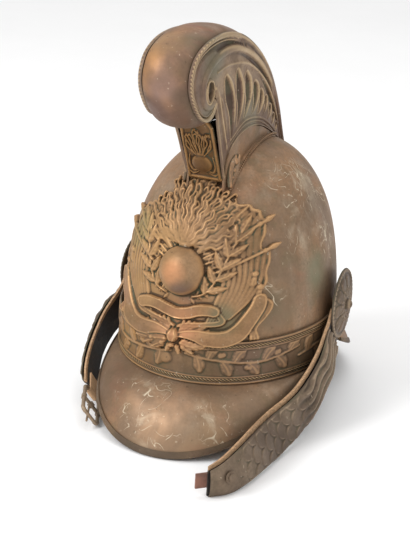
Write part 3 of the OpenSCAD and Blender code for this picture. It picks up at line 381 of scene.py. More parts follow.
def strap_at(form, share, across, off):
    """Points of a strap in its pivot's frame, as out, back and up."""
    shape = np.broadcast_shapes(np.shape(share), np.shape(across), np.shape(off))
    share = np.broadcast_to(share, shape).ravel()
    across = np.broadcast_to(across, shape).ravel()
    off = np.broadcast_to(off, shape).ravel()
    e = 0.015

    def middle(s):
        return along(form[0], strap_share(form, s))

    half = along(form[1], strap_share(form, share))
    run = unit(middle(np.minimum(share + e, 1)) - middle(np.maximum(share - e, 0)))
    out = unit(np.cross(half, run))
    made = middle(share) + across[:, None] * half + off[:, None] * out
    return made.reshape(*shape, 3)


def from_pivot(points, side):
    """Points of a pivot's frame in the helmet's frame, on the wearer's left (1) or right (-1)."""
    share = PIVOT_HEIGHT / SKULL_HEIGHT
    lean = (CROWN_SETBACK * share**SETBACK_BEND - PIVOT_BACK) / (
        SKULL_HALF_LENGTH * shrink(share)
    )
    pivot = skull_at(math.degrees(math.acos(lean)), share)
    c, s = math.cos(math.radians(PIVOT_TURN)), math.sin(math.radians(PIVOT_TURN))
    turned = points @ np.array([[c, s, 0], [-s, c, 0], [0, 0, 1]])
    return (turned + pivot) * np.array([side, 1, 1])


def sweatband_at(angle, k, depth):
    """Points of the sweatband's outer face: k from 0 at the rim to 3 at the top."""
    z = mix(SWEATBAND_LOW, SWEATBAND_HEIGHT, k / 3) / SKULL_HEIGHT
    return skull_at(angle, z, -SHEET - SEAT - SWEATBAND_LEAN * k - depth)


# The record's plain materials have the slots' names, so the finishes are told apart by this word
AGED = "aged_"


# Meshes
def solid(name, body, points, faces, finish, wear_and_shading=None, sharp=40, marks=None):
    """A closed shaded piece that rides on a body, with faces outwards and a mark of hollows and crests
    for crust, polish, painted shade and painted highlight.
    """
    points = np.asarray(points, float) * MM
    faces = np.asarray(faces, np.int64)
    a, b, c = points[faces[:, 0]], points[faces[:, 1]], points[faces[:, 2]]
    if np.einsum("ij,ij->i", a, np.cross(b, c)).sum() < 0:
        faces = faces[:, ::-1]
    mesh = bpy.data.meshes.new(name)
    mesh.from_pydata(points.tolist(), [], faces.tolist())
    mesh.update()
    mesh.shade_smooth()
    mesh.set_sharp_from_angle(angle=math.radians(sharp))
    for label, values in {"wear_and_shading": wear_and_shading, **(marks or {})}.items():
        if values is not None:
            layer = mesh.attributes.new(label, "FLOAT", "POINT")
            layer.data.foreach_set("value", np.asarray(values, np.float32).ravel())
    mesh.materials.append(material(finish))
    return placed(name, body, mesh)


def placed(name, body, mesh):
    """An object with a finished mesh, riding on its body with its finish's slot."""
    piece = bpy.data.objects.new(name, mesh)
    bpy.context.scene.collection.objects.link(piece)
    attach(piece, body)
    return piece


def grid_faces(rows, cols, ring, start=0):
    """Two triangles for each cell of a grid of points."""
    steps = cols if ring else cols - 1
    r, c = np.meshgrid(np.arange(rows - 1), np.arange(steps), indexing="ij")
    a = start + r * cols + c
    b = start + r * cols + (c + 1) % cols
    up = cols
    return np.concatenate(
        [
            threes(a, b, b + up).reshape(-1, 3),
            threes(a, b + up, a + up).reshape(-1, 3),
        ]
    )


def wall(outer, inner):
    """Triangles that join two equal runs of point numbers."""
    a, b, c, d = outer[:-1], outer[1:], inner[:-1], inner[1:]
    return np.concatenate([threes(a, c, d), threes(a, d, b)])


def shell(outer, inner, ring=False, pole=None):
    """Points and faces of a closed sheet between two grids of points. pole gives both tips."""
    rows, cols = outer.shape[:2]
    inner_rows = inner.shape[0]
    under = rows * cols
    points = [outer.reshape(-1, 3), inner.reshape(-1, 3)]
    back = grid_faces(inner_rows, cols, ring, under)[:, ::-1]
    faces = [grid_faces(rows, cols, ring), back]
    run = np.arange(cols)
    if ring:
        run = np.append(run, 0)
    faces.append(wall(run, run + under))
    top, last = (rows - 1) * cols, under + (inner_rows - 1) * cols
    if pole is None:
        faces.append(wall(run + top, run + last)[:, ::-1])
    else:
        tip = under + inner_rows * cols
        points.append(np.asarray(pole, float))
        a, b = run[:-1], run[1:]
        faces.append(threes(a + top, b + top, tip))
        faces.append(threes(b + last, a + last, tip + 1))
    if not ring:
        left = np.arange(rows) * cols
        deep = under + np.arange(inner_rows) * cols
        if rows == inner_rows:
            faces.append(wall(left, deep)[:, ::-1])
            faces.append(wall(left + cols - 1, deep + cols - 1))
        else:
            for shift, turn in ((0, 1), (cols - 1, -1)):
                fan = threes(left[1:] + shift, left[:-1] + shift, deep[0] + shift)
                ends = np.array([[left[-1] + shift, deep[0] + shift, deep[1] + shift]])
                faces.append(np.concatenate([fan, ends])[:, ::turn])
    return np.concatenate(points), np.concatenate(faces)


def joined(shells):
    """Points and faces of several shells as one mesh."""
    starts = np.cumsum([0] + [len(points) for points, _ in shells])
    points = np.concatenate([points for points, _ in shells])
    faces = np.concatenate([faces + start for (_, faces), start in zip(shells, starts)])
    return points, faces


def blur(field, times, wrap=False):
    """A field of heights smoothed with its neighbours, some times over."""
    for _ in range(times):
        padded = np.pad(field, ((1, 1), (0, 0)), "edge")
        field = (padded[:-2] + 2 * padded[1:-1] + padded[2:]) / 4
        padded = np.pad(field, ((0, 0), (1, 1)), "wrap" if wrap else "edge")
        field = (padded[:, :-2] + 2 * padded[:, 1:-1] + padded[:, 2:]) / 4
    return field


def wear_and_shading_of(height, reach, gain, wrap=False):
    """A mark from -1 in the hollows to 1 on the crests of a pressed sheet, for crust and painted shade
    in the hollows, polish and painted highlight on the crests.
    """
    return np.clip((height - blur(height, reach, wrap)) * gain, -1, 1)


def both_faces(front, back):
    """Values for a shell's points: the front's own, and a single one for its back."""
    return np.concatenate([front.ravel(), np.full(front.size, back)])


class Relief:
    """Heights pressed into a sheet, over two flat coordinates in millimetres."""

    def __init__(self, x, z, ground):
        self.x, self.z = x, z
        self.height = np.full(x.shape, float(ground))
        self.inside = np.full(x.shape, -99.0)

    def near(self, points, margin):
        """Which points of the sheet lie near a list of points."""
        p = np.asarray(points, float)
        return (
            (self.x > p[:, 0].min() - margin)
            & (self.x < p[:, 0].max() + margin)
            & (self.z > p[:, 1].min() - margin)
            & (self.z < p[:, 1].max() + margin)
        )

    def reach(self, path, halves, steps):
        """Distance, half width and share along the path, for the points near it."""
        u = np.linspace(0, 1, steps + 1)
        pts, half = along(path, u), along(halves, u)
        near = self.near(pts, half.max() + 1.5)
        x, z = self.x[near], self.z[near]
        best = np.full(x.shape, 99.0)
        found = np.zeros((3, *x.shape))
        for k in range(steps):
            d = pts[k + 1] - pts[k]
            f = np.clip(
                ((x - pts[k, 0]) * d[0] + (z - pts[k, 1]) * d[1]) / max(d @ d, 1e-9), 0, 1
            )
            dx, dz = x - pts[k, 0] - f * d[0], z - pts[k, 1] - f * d[1]
            away = np.hypot(dx, dz)
            width = np.maximum(mix(half[k], half[k + 1], f), 0.05)
            better = away / width < best
            best = np.where(better, away / width, best)
            for slot, value in enumerate((away, width, (k + f) / steps)):
                found[slot] = np.where(better, value, found[slot])
        return near, *found

    def lay(self, near, shape, cover):
        """Lays a form over the sheet where it covers it."""
        kept = self.height[near]
        self.height[near] = np.where(cover > 0, np.maximum(kept, shape), kept)
        self.inside[near] = np.maximum(self.inside[near], cover)

    def band(self, path, halves, base, crest, form, steps):
        """A form along a path: a round strand, a veined or a lobed leaf, a rimmed ribbon, a flat."""
        near, away, half, share = self.reach(path, halves, steps)
        if form == "lobed":
            half = half * (0.74 + 0.26 * np.abs(np.cos(share * math.pi * 3.5)))
        d = np.clip(away / half, 0, 1)
        if form == "round":
            shape = crest * np.sqrt(1 - d * d)
        elif form == "leaf":
            veins = 0.12 * np.cos(share * 30 - d * 4)
            shape = crest * (
                0.72 * (1 - d**3) + 0.28 * np.exp(-((away / 0.5) ** 2)) + veins * d
            )
        elif form == "ribbon":
            edge = half - away
            swell = 0.5 + 0.16 * (1 - d * d)
            shape = crest * (swell + 0.5 * np.exp(-(((edge - 0.85) / 0.5) ** 2)))
            shape *= np.clip(edge / 0.5, 0, 1)
        elif form == "lobed":
            shape = crest * (
                0.6 * (1 - d**4) + 0.4 * np.exp(-((away / 0.45) ** 2)) * (d < 1)
            )
        else:
            shape = crest * (1 - d**4)
        self.lay(near, base + shape, half - away)

    def hollow(self, path, halves, floor, lip, steps):
        """A petal-shaped hollow with a raised lip round it."""
        near, away, half, _ = self.reach(path, halves, steps)
        d = away / half
        deep = floor * np.clip(half / max(halves), 0, 1) ** 0.8
        bowl = -deep * np.clip(1 - d * d, 0, 1) ** 0.6
        rim = lip * np.exp(-(((away - half - 0.6) / 0.9) ** 2))
        kept = self.height[near]
        self.height[near] = np.where(d < 1, bowl + rim, kept + rim)

    def dome(self, mid, radius, base, crest, power=2.0, stretch=(1, 1)):
        """A ball or boss that swells out of the sheet."""
        near = self.near([mid], radius * max(stretch) + 1)
        away = np.hypot(
            (self.x[near] - mid[0]) / stretch[0], (self.z[near] - mid[1]) / stretch[1]
        )
        d = np.clip(away / radius, 0, 1)
        self.lay(near, base + crest * (1 - d**power) ** (1 / power), radius - away)

    def patch(self, outline, base, folds=None):
        """A flat field inside an outline, with folds where a function gives them."""
        pts = np.asarray(outline, float)
        near = self.near(pts, 1.5)
        x, z = self.x[near], self.z[near]
        away, odd = np.full(x.shape, 99.0), np.zeros(x.shape, bool)
        for a, b in zip(pts, np.roll(pts, -1, axis=0)):
            d = b - a
            f = np.clip(((x - a[0]) * d[0] + (z - a[1]) * d[1]) / max(d @ d, 1e-9), 0, 1)
            away = np.minimum(away, np.hypot(x - a[0] - f * d[0], z - a[1] - f * d[1]))
            crosses = (a[1] > z) != (b[1] > z)
            rise = d[1] if abs(d[1]) > 1e-9 else 1e-9
            odd ^= crosses & (x < a[0] + (z - a[1]) * d[0] / rise)
        cover = np.where(odd, away, -away)
        shape = base + (folds(x, z) if folds else 0)
        self.lay(near, shape * np.clip(cover / 0.8 + 0.4, 0, 1), cover)


def trimmed(relief, field, edge):
    """Coordinates of a sheet, with the points just outside its outline drawn in to it."""
    gz, gx = np.gradient(field)
    step_x = np.gradient(relief.x, axis=1)
    step_z = np.gradient(relief.z, axis=0)
    gx, gz = gx / step_x, gz / step_z
    slope = np.maximum(gx * gx + gz * gz, 0.05)
    shift = np.clip(-field, 0, edge) / slope
    limit = 0.9 * np.minimum(np.abs(step_x), np.abs(step_z))
    outside = field < 0
    x = np.where(outside, relief.x + np.clip(gx * shift, -limit, limit), relief.x)
    z = np.where(outside, relief.z + np.clip(gz * shift, -limit, limit), relief.z)
    return x, z


def cell_faces(cells):
    """Triangles of a closed sheet over the marked cells of a grid: two faces and their walls."""
    cols = cells.shape[1] + 1
    count = (cells.shape[0] + 1) * cols
    r, c = np.nonzero(cells)
    a, b = r * cols + c, r * cols + c + 1
    d, e = a + cols, b + cols
    front = np.concatenate([threes(a, b, e), threes(a, e, d)])
    padded = np.pad(cells, 1)
    walls = []
    for beside, first, second in (
        (padded[:-2, 1:-1], 0, 1),
        (padded[2:, 1:-1], cols + 1, cols),
        (padded[1:-1, :-2], cols, 0),
        (padded[1:-1, 2:], 1, cols + 1),
    ):
        r, c = np.nonzero(cells & ~beside)
        p, q = r * cols + c + first, r * cols + c + second
        walls += [threes(p, p + count, q + count), threes(p, q + count, q)]
    return np.concatenate([front, front[:, ::-1] + count, *walls])


def pressed_sheet(relief, place, under, edge=0.6):
    """Points, faces and the hollow and crest marks of a sheet cut to its relief's outline, for crust,
    polish, painted shade and painted highlight. place maps a height to points.
    """
    field = blur(relief.inside, 1)
    corners = (field[:-1, :-1], field[1:, :-1], field[:-1, 1:], field[1:, 1:])
    faces = cell_faces(np.max(corners, axis=0) > 0)
    x, z = trimmed(relief, field, edge)
    points = np.concatenate(
        [place(x, z, relief.height).reshape(-1, 3), place(x, z, under).reshape(-1, 3)]
    )
    shown = np.where(relief.inside > -1, relief.height, 0)
    # Darker in the hollows and brighter on the crests: crust and polish, with painted shade and painted
    # highlight
    wear_and_shading = both_faces(0.55 * wear_and_shading_of(shown, 10, 1.3) + 0.75 * wear_and_shading_of(shown, 3, 2.2), -0.3)
    used = np.unique(faces)
    number = np.zeros(len(points), np.int64)
    number[used] = np.arange(len(used))
    return points[used], number[faces], wear_and_shading[used]


# Materials
class NodeTree:
    """A node tree under construction."""

    def add(self, kind, inputs=None, **settings):
        """A new node with its settings, and with its inputs linked or set."""
        node = self.tree.nodes.new(kind)
        for key, value in settings.items():
            setattr(node, key, value)
        for label, source in (inputs or {}).items():
            self.link(source, node.inputs[label])
        return node

    def link(self, source, target):
        """Joins an output to an input, or sets the input to a value. A tuple is a colour."""
        if hasattr(source, "is_output"):
            self.tree.links.new(source, target)
        elif isinstance(source, tuple):
            target.default_value = (*source, 1.0)
        else:
            target.default_value = source


class Finish(NodeTree):
    """A material under construction, patterned over the object's own coordinates."""

    def __init__(self, name):
        self.material = bpy.data.materials.new(AGED + name)
        self.material.use_nodes = True
        self.tree = self.material.node_tree
        self.shader = self.tree.nodes["Principled BSDF"]
        self.place = self.add("ShaderNodeTexCoord").outputs["Object"]

    def noise(self, scale, detail=4, rough=0.55, stretch=(1, 1, 1), warp=0.0):
        """A noise pattern from 0 to 1."""
        place = self.place
        if stretch != (1, 1, 1):
            mapping = self.add("ShaderNodeMapping", {"Scale": list(stretch), "Vector": place})
            place = mapping.outputs["Vector"]
        inputs = {
            "Scale": scale, "Detail": detail, "Roughness": rough, "Distortion": warp,
            "Vector": place,
        }
        return self.add("ShaderNodeTexNoise", inputs).outputs["Fac"]

    def span(self, value, low, high, to_low=0.0, to_high=1.0):
        """A value eased from one range to another."""
        inputs = {
            "Value": value, "From Min": low, "From Max": high, "To Min": to_low, "To Max": to_high
        }
        node = self.add("ShaderNodeMapRange", inputs, interpolation_type="SMOOTHSTEP")
        return node.outputs["Result"]

    def combine(self, a, b, operation="MULTIPLY"):
        """Two values multiplied, or joined by another operation."""
        return self.add("ShaderNodeMath", {0: a, 1: b}, operation=operation).outputs[0]

    def most(self, values):
        """The largest of some values."""
        best = values[0]
        for value in values[1:]:
            best = self.combine(best, value, "MAXIMUM")
        return best

    def blend(self, share, a, b):
        """The colour at a share of the way from a to b."""
        inputs = {"Factor": share, 6: a, 7: b}
        return self.add("ShaderNodeMix", inputs, data_type="RGBA").outputs[2]

    def mark(self, name):
        """The values of a mesh attribute."""
        return self.add("ShaderNodeAttribute", attribute_name=name).outputs["Fac"]

    def near(self, middle, radius):
        """1 close to a point of the object, 0 beyond the radius."""
        inputs = {0: self.place, 1: [m * MM for m in middle]}
        node = self.add("ShaderNodeVectorMath", inputs, operation="DISTANCE")
        return self.span(node.outputs["Value"], radius * 0.35 * MM, radius * MM, 1.0, 0.0)

    def bump(self, height, distance, strength, before=None):
        """A normal bent by a height, over a normal bent before."""
        inputs = {"Strength": strength, "Distance": distance, "Height": height}
        if before is not None:
            inputs["Normal"] = before
        return self.add("ShaderNodeBump", inputs).outputs["Normal"]

    def finished(self, looks):
        """The material, with the shader's inputs linked or set."""
        for label, source in looks.items():
            self.link(source, self.shader.inputs[label])
        return self.material


def shade(colour, factor):
    """A colour made lighter or darker."""
    return tuple(min(c * factor, 1.0) for c in colour)


def tint(a, b, share):
    """A colour between two."""
    return tuple(mix(p, q, share) for p, q in zip(a, b))


# Scratched places of a finish: middle and radius, in millimetres
SCRATCHED = {
    "dome_brass": (
        ((55, -10, 150), 34), ((66, 20, 158), 34), ((80, 5, 128), 26), ((90, 12, 105), 26),
        ((62, -62, 74), 20), ((84, 30, 150), 30), ((76, -30, 118), 18),
    ),
    "visor_brass": (
        ((-16, -128, -12), 26), ((-20, -140, -24), 28), ((8, -158, -44), 28),
        ((40, -125, -22), 26), ((52, -128, -36), 26), ((-40, -120, -14), 20),
    ),
}

# Painted light, painted shade and some stains on places of a finish: middle and radius, in millimetres,
# and colour
PAINTED_LIGHT_AND_STAINS = {
    "dome_brass": (
        ((-70, -55, 92), 44, (0.31, 0.24, 0.11)), ((66, -60, 62), 32, (0.18, 0.132, 0.08)),
        ((93, -14, 84), 26, (0.2, 0.19, 0.12)),
    ),
    "visor_brass": (
        ((-6, -134, -18), 42, (0.47, 0.29, 0.175)), ((0, -160, -38), 44, (0.46, 0.29, 0.17)),
        ((40, -140, -40), 34, (0.34, 0.225, 0.13)), ((-60, -108, -20), 40, (0.15, 0.094, 0.055)),
    ),
    "plate_brass": (
        ((-40, -86, 96), 52, (0.47, 0.28, 0.115)), ((-8, -122, 102), 22, (0.58, 0.27, 0.125)),
        ((4, -114, 80), 19, (0.12, 0.08, 0.07)), ((-2, -112, 52), 30, (0.4, 0.19, 0.088)),
        ((-60, -70, 118), 26, (0.27, 0.22, 0.09)), ((34, -96, 60), 20, (0.175, 0.145, 0.08)),
    ),
    "band_brass": (
        ((-50, -92, 22), 62, (0.37, 0.19, 0.052)), ((58, -76, 22), 46, (0.19, 0.12, 0.08)),
    ),
    "comb_brass": (
        ((20, -95, 292), 34, (0.15, 0.135, 0.085)), ((20, -10, 214), 26, (0.2, 0.18, 0.12)),
        ((22, -108, 240), 20, (0.2, 0.17, 0.12)),
    ),
    "crest_brass": (
        ((-18, -138, 288), 24, (0.5, 0.25, 0.085)), ((-20, -144, 264), 18, (0.46, 0.23, 0.09)),
        ((-6, -125, 300), 22, (0.36, 0.22, 0.11)), ((0, -147, 274), 20, (0.27, 0.17, 0.135)),
        ((15, -118, 302), 20, (0.1, 0.078, 0.04)), ((18, -136, 286), 15, (0.12, 0.085, 0.045)),
        ((18, -146, 266), 15, (0.115, 0.075, 0.05)), ((16, -142, 248), 15, (0.13, 0.08, 0.05)),
        ((-6, -142, 248), 26, (0.15, 0.085, 0.062)), ((0, -112, 240), 30, (0.1, 0.064, 0.045)),
        ((-18, -142, 252), 24, (0.12, 0.066, 0.05)),
    ),
}

# The patina covers nearly half of the bare metal
BRASS_METALLIC = 0.55
CORD_COLOUR = (0.42, 0.34, 0.22)


def scratched(f, places, colour, bare):
    """A colour with squiggled scratches and rubbed patches of bare metal at some places."""
    lines = []
    for scale, skew, warp in ((26, 0.0, 1.6), (44, 0.42, 0.9), (17, -0.3, 2.4)):
        squiggle = f.noise(scale, 2, 0.5, stretch=(1 + skew, 1, 0.7 - skew / 2), warp=warp)
        offset = f.combine(f.combine(squiggle, 0.5, "SUBTRACT"), 0.0, "ABSOLUTE")
        line = f.span(offset, 0.0025, 0.009, 1.0, 0.0)
        lines.append(f.combine(line, f.span(f.noise(scale * 3.1, 2, 0.6), 0.5, 0.6)))
    here = f.most([f.near(point, radius) for point, radius in places])
    colour = f.blend(f.combine(f.most(lines), here), colour, bare)
    rubbed = f.combine(f.span(f.noise(33, 5, 0.65, warp=0.5), 0.5, 0.66), here)
    return f.blend(f.combine(rubbed, 0.36), colour, bare)


def aged_brass(name, base, warm, green, polish_and_highlight, streaks, rust):
    """Old brass: patches of patina and of painted light and shade, streaks, crust and painted shade in
    the hollows, polish and painted highlight on the crests, and scratches.
    """
    finish = bpy.context.scene.helmet_finish
    brass, bright, bare = tuple(base), tuple(warm), tuple(finish.bare_scratch)
    f = Finish(name)
    large = f.noise(13, 5, 0.6, warp=0.4)
    middle = f.noise(55, 5, 0.6)
    fine = f.noise(420, 4, 0.6)
    colour = f.blend(f.span(large, 0.36, 0.66), shade(brass, 0.82), tint(brass, bright, 0.5))
    olive = (brass[0] * 0.8, brass[1] * 0.92, brass[2] * 0.86)
    colour = f.blend(f.combine(f.span(middle, 0.48, 0.7), 0.55), colour, olive)
    streak = f.noise(30, 4, 0.6, stretch=(1, 1, 0.16))
    pale = shade(tint(brass, (0.5, 0.46, 0.37), 0.45), 1.05)
    colour = f.blend(f.combine(f.span(streak, 0.52, 0.72), streaks), colour, pale)
    colour = f.blend(f.span(fine, 0.35, 0.7, 0.0, 0.35), colour, shade(brass, 0.6))
    # Patches of painted light, painted shade and some stains, each laid over the colour near its place
    for point, radius, patch_colour in PAINTED_LIGHT_AND_STAINS.get(name, ()):
        spot = f.combine(f.near(point, radius), f.span(large, 0.3, 0.62, 0.15, 0.9))
        colour = f.blend(spot, colour, patch_colour)
    red = f.combine(f.span(f.noise(21, 4, 0.6, warp=0.3), 0.55, 0.75), rust)
    colour = f.blend(red, colour, (brass[0] * 1.1, brass[1] * 0.72, brass[2] * 0.7))
    wear_and_shading = f.mark("wear_and_shading")
    hollow = f.span(wear_and_shading, -0.08, -0.75)
    crest = f.span(wear_and_shading, 0.08, 0.7)
    # The hollows' dark colour: green crust, and a dark copy of the brass as painted shade
    patches = f.span(f.noise(38, 3), 0.42, 0.62)
    crust_and_shade_colour = f.blend(patches, shade(brass, 0.33), tuple(finish.verdigris_and_shade))
    colour = f.blend(f.combine(hollow, min(0.55 + green * 0.4, 1)), colour, crust_and_shade_colour)
    # Crests painted brighter: polish and painted highlight
    colour = f.blend(f.combine(crest, polish_and_highlight), colour, shade(bright, 1.25))
    specks = f.span(f.noise(230, 2, 0.7), 0.68, 0.74)
    colour = f.blend(f.combine(specks, 0.35), colour, bare)
    pits = f.span(f.noise(160, 2, 0.7), 0.66, 0.74)
    colour = f.blend(f.combine(pits, 0.5), colour, shade(brass, 0.4))
    if name in SCRATCHED:
        colour = scratched(f, SCRATCHED[name], colour, bare)
    rough = f.span(middle, 0.3, 0.7, 0.48, 0.7)
    rough = f.combine(rough, f.combine(crest, -0.1), "ADD")
    normal = f.bump(fine, 0.00012, 0.5)
    normal = f.bump(f.noise(90, 3), 0.0005, 0.35, before=normal)
    return f.finished(
        {"Base Color": colour, "Metallic": BRASS_METALLIC, "Roughness": rough, "Normal": normal}
    )


def worn_leather(name, face, edge, grain, edge_share):
    """Old leather: grained face, bare fibrous edges where the edge attribute says, and cracks."""
    f = Finish(name)
    face, edge = tuple(face), tuple(edge)
    patch = f.noise(45, 4)
    colour = f.blend(f.span(patch, 0.35, 0.7), shade(face, 0.75), shade(face, 1.7))
    rubbed = f.span(f.noise(110, 4, 0.7), 0.56, 0.72)
    colour = f.blend(f.combine(rubbed, 0.35), colour, tint(face, edge, 0.4))
    cut = f.combine(f.span(f.mark("edge"), 0.45, 0.8), edge_share)
    fibre = f.noise(330, 4, 0.65, stretch=(1, 1, 2.5))
    bare = f.blend(f.span(fibre, 0.35, 0.7), shade(edge, 0.62), shade(edge, 1.12))
    colour = f.blend(cut, colour, bare)
    inputs = {"Scale": grain, "Vector": f.place}
    cells = f.add("ShaderNodeTexVoronoi", inputs, feature="DISTANCE_TO_EDGE")
    pores = f.span(cells.outputs["Distance"], 0.0, 0.12)
    normal = f.bump(pores, 0.00018, 0.6)
    normal = f.bump(patch, 0.0006, 0.3, before=normal)
    rough = f.span(patch, 0.3, 0.7, 0.55, 0.78)
    return f.finished({"Base Color": colour, "Roughness": rough, "Normal": normal})


def twisted_thread(name, colour):
    """Waxed linen thread or cord."""
    f = Finish(name)
    strand = f.noise(700, 3, stretch=(1, 1, 0.4))
    shades = f.blend(f.span(strand, 0.35, 0.7), shade(colour, 0.6), shade(colour, 1.15))
    normal = f.bump(strand, 0.0002, 0.6)
    return f.finished({"Base Color": shades, "Roughness": 0.8, "Normal": normal})


def material(name):
    """A finish by its name, made the first time that it is asked for."""
    made = bpy.data.materials.get(AGED + name)
    if made:
        return made
    finish = bpy.context.scene.helmet_finish
    brown, warm, tan = finish.brown_brass, finish.warm_brass, finish.tan_hide
    # Brown and bright colour, then the amounts of green crust and painted shade in the hollows, of
    # polish and painted highlight on the crests, of streaks and of rust
    brasses = {
        "dome_brass": (brown, warm, 0.5, 0.5, 0.4, 0.35),
        "visor_brass": (brown, warm, 0.5, 0.5, 0.35, 0.35),
        "plate_brass": ((0.252, 0.14, 0.067), (0.44, 0.255, 0.115), 1.1, 0.55, 0.15, 0.35),
        "band_brass": ((0.2, 0.122, 0.068), (0.36, 0.21, 0.1), 0.6, 0.5, 0.15, 0.35),
        "rope_brass": ((0.13, 0.085, 0.045), (0.46, 0.3, 0.15), 0.9, 0.9, 0.0, 0.35),
        "comb_brass": ((0.19, 0.116, 0.082), (0.46, 0.33, 0.185), 0.7, 0.6, 0.3, 0.6),
        "crest_brass": ((0.23, 0.135, 0.09), warm, 0.3, 0.5, 0.3, 1.3),
        "mask_brass": ((0.14, 0.064, 0.018), (0.33, 0.175, 0.058), 1.0, 0.45, 0.05, 0.35),
        "scale_brass": ((0.14, 0.094, 0.064), (0.31, 0.23, 0.15), 0.3, 0.5, 0.25, 0.35),
        "buckle_brass": ((0.26, 0.19, 0.13), (0.42, 0.31, 0.2), 0.3, 0.5, 0.2, 0.35),
        "edge_brass": ((0.14, 0.096, 0.062), (0.3, 0.19, 0.1), 0.3, 0.5, 0.2, 0.35),
        "plain_brass": ((0.24, 0.17, 0.12), (0.42, 0.3, 0.19), 0.4, 0.5, 0.2, 0.35),
    }
    # Colours of the face and of the cut edge, then the grain's scale and how far the edge shows
    hides = {
        "strap_leather": (finish.black_hide, tan, 260, 1.0),
        "tab_leather": ((0.16, 0.07, 0.045), (0.2, 0.1, 0.06), 260, 0.6),
        "loop_leather": (shade(tan, 0.75), tan, 260, 1.0),
        "liner_leather": ((0.07, 0.042, 0.028), (0.2, 0.12, 0.07), 190, 1.0),
    }
    if name in brasses:
        return aged_brass(name, *brasses[name])
    if name in hides:
        return worn_leather(name, *hides[name])
    return twisted_thread(name, CORD_COLOUR)


# Geometry Nodes
class Growth(NodeTree):
    """A Geometry Nodes tree under construction, with named inputs."""

    def __init__(self, name, inputs):
        self.tree = bpy.data.node_groups.new(name, "GeometryNodeTree")
        face = self.tree.interface
        for label, kind in (("Geometry", "Geometry"), *inputs, ("Material", "Material")):
            face.new_socket(label, in_out="INPUT", socket_type="NodeSocket" + kind)
        face.new_socket("Geometry", in_out="OUTPUT", socket_type="NodeSocketGeometry")
        self.entry = self.tree.nodes.new("NodeGroupInput")
        self.exit = self.tree.nodes.new("NodeGroupOutput")

    def flow(self, kind, inputs=None, **settings):
        """The first output of a new node."""
        return self.add(kind, inputs, **settings).outputs[0]

    def reckon(self, operation, *values):
        """The result of a math node."""
        return self.flow("ShaderNodeMath", dict(enumerate(values)), operation=operation)

    def finish(self, geometry):
        """The tree, ended in Realize Instances and Set Material."""
        real = self.flow("GeometryNodeRealizeInstances", {"Geometry": geometry})
        inputs = {"Geometry": real, "Material": self.entry.outputs["Material"]}
        self.link(self.flow("GeometryNodeSetMaterial", inputs), self.exit.inputs[0])
        return self.tree


def rope_tree():
    """Twisted strands that follow the edges of a ring."""
    g = Growth("twisted_rope", [("Radius", "Float"), ("Turns", "Int"), ("Count", "Int")])
    source = g.entry.outputs
    curve = g.flow("GeometryNodeMeshToCurve", {"Mesh": source["Geometry"]})
    even = g.flow("GeometryNodeResampleCurve", {"Curve": curve, "Count": source["Count"]})
    flat = g.flow("GeometryNodeSetCurveNormal", {"Curve": even}, mode="Z_UP")
    index = g.flow("GeometryNodeInputIndex")
    share = g.reckon("DIVIDE", index, source["Count"])
    turns = g.reckon("MULTIPLY", share, source["Turns"])
    quarter = g.reckon("MULTIPLY", turns, math.pi / 2)
    tilt = g.flow("GeometryNodeSetCurveTilt", {"Curve": flat, "Tilt": quarter})
    hollow = g.reckon("MULTIPLY", source["Radius"], 0.6)
    inputs = {"Points": 4, "Inner Radius": hollow, "Outer Radius": source["Radius"]}
    star = g.flow("GeometryNodeCurveStar", inputs)
    # Strands painted bright on their crests and dark in the grooves between them: painted highlight and
    # painted shade
    odd = g.reckon("MODULO", index, 2)
    inputs = {"Geometry": star, "Name": "wear_and_shading", "Value": g.reckon("MULTIPLY_ADD", odd, -1.9, 0.9)}
    marked = g.flow(
        "GeometryNodeStoreNamedAttribute", inputs, data_type="FLOAT", domain="POINT"
    )
    tube = g.flow("GeometryNodeCurveToMesh", {"Curve": tilt, "Profile Curve": marked})
    return g.finish(g.flow("GeometryNodeSetShadeSmooth", {"Geometry": tube}))


def stitch_tree():
    """Small stitches set along the edges of a ring."""
    g = Growth("stitches", [("Length", "Float"), ("Radius", "Float"), ("Pitch", "Float")])
    source = g.entry.outputs
    curve = g.flow("GeometryNodeMeshToCurve", {"Mesh": source["Geometry"]})
    inputs = {"Curve": curve, "Length": source["Pitch"]}
    points = g.add("GeometryNodeCurveToPoints", inputs, mode="LENGTH")
    inputs = {"X": source["Radius"], "Y": source["Radius"], "Z": source["Length"]}
    size = g.flow("ShaderNodeCombineXYZ", inputs)
    ball = g.flow("GeometryNodeMeshIcoSphere", {"Radius": 1.0, "Subdivisions": 2})
    grown = g.flow("GeometryNodeTransform", {"Geometry": ball, "Scale": size})
    inputs = {"Vector": points.outputs["Tangent"]}
    turn = g.flow("FunctionNodeAlignRotationToVector", inputs, axis="Z")
    inputs = {"Points": points.outputs["Points"], "Instance": grown, "Rotation": turn}
    set_down = g.flow("GeometryNodeInstanceOnPoints", inputs)
    return g.finish(g.flow("GeometryNodeSetShadeSmooth", {"Geometry": set_down}))


def grow(name, body, points, tree, finish, inputs, ring=True):
    """A plain mesh that a Geometry Nodes tree makes along a ring or a run of points."""
    inputs = {**inputs, "Material": material(finish)}
    count = len(points)
    edges = [(i, (i + 1) % count) for i in range(count if ring else count - 1)]
    mesh = bpy.data.meshes.new(name + "_line")
    mesh.from_pydata((np.asarray(points) * MM).tolist(), edges, [])
    line = bpy.data.objects.new(name + "_line", mesh)
    bpy.context.scene.collection.objects.link(line)
    modifier = line.modifiers.new("growth", "NODES")
    modifier.node_group = tree
    for socket in tree.interface.items_tree:
        if socket.in_out == "INPUT" and socket.name in inputs:
            modifier[socket.identifier] = inputs[socket.name]
    graph = bpy.context.evaluated_depsgraph_get()
    graph.update()
    made = bpy.data.meshes.new_from_object(line.evaluated_get(graph))
    made.name = name
    bpy.data.objects.remove(line)
    if not made.polygons:
        raise RuntimeError(f"the tree {tree.name} grew nothing for {name}")
    return placed(name, body, made)


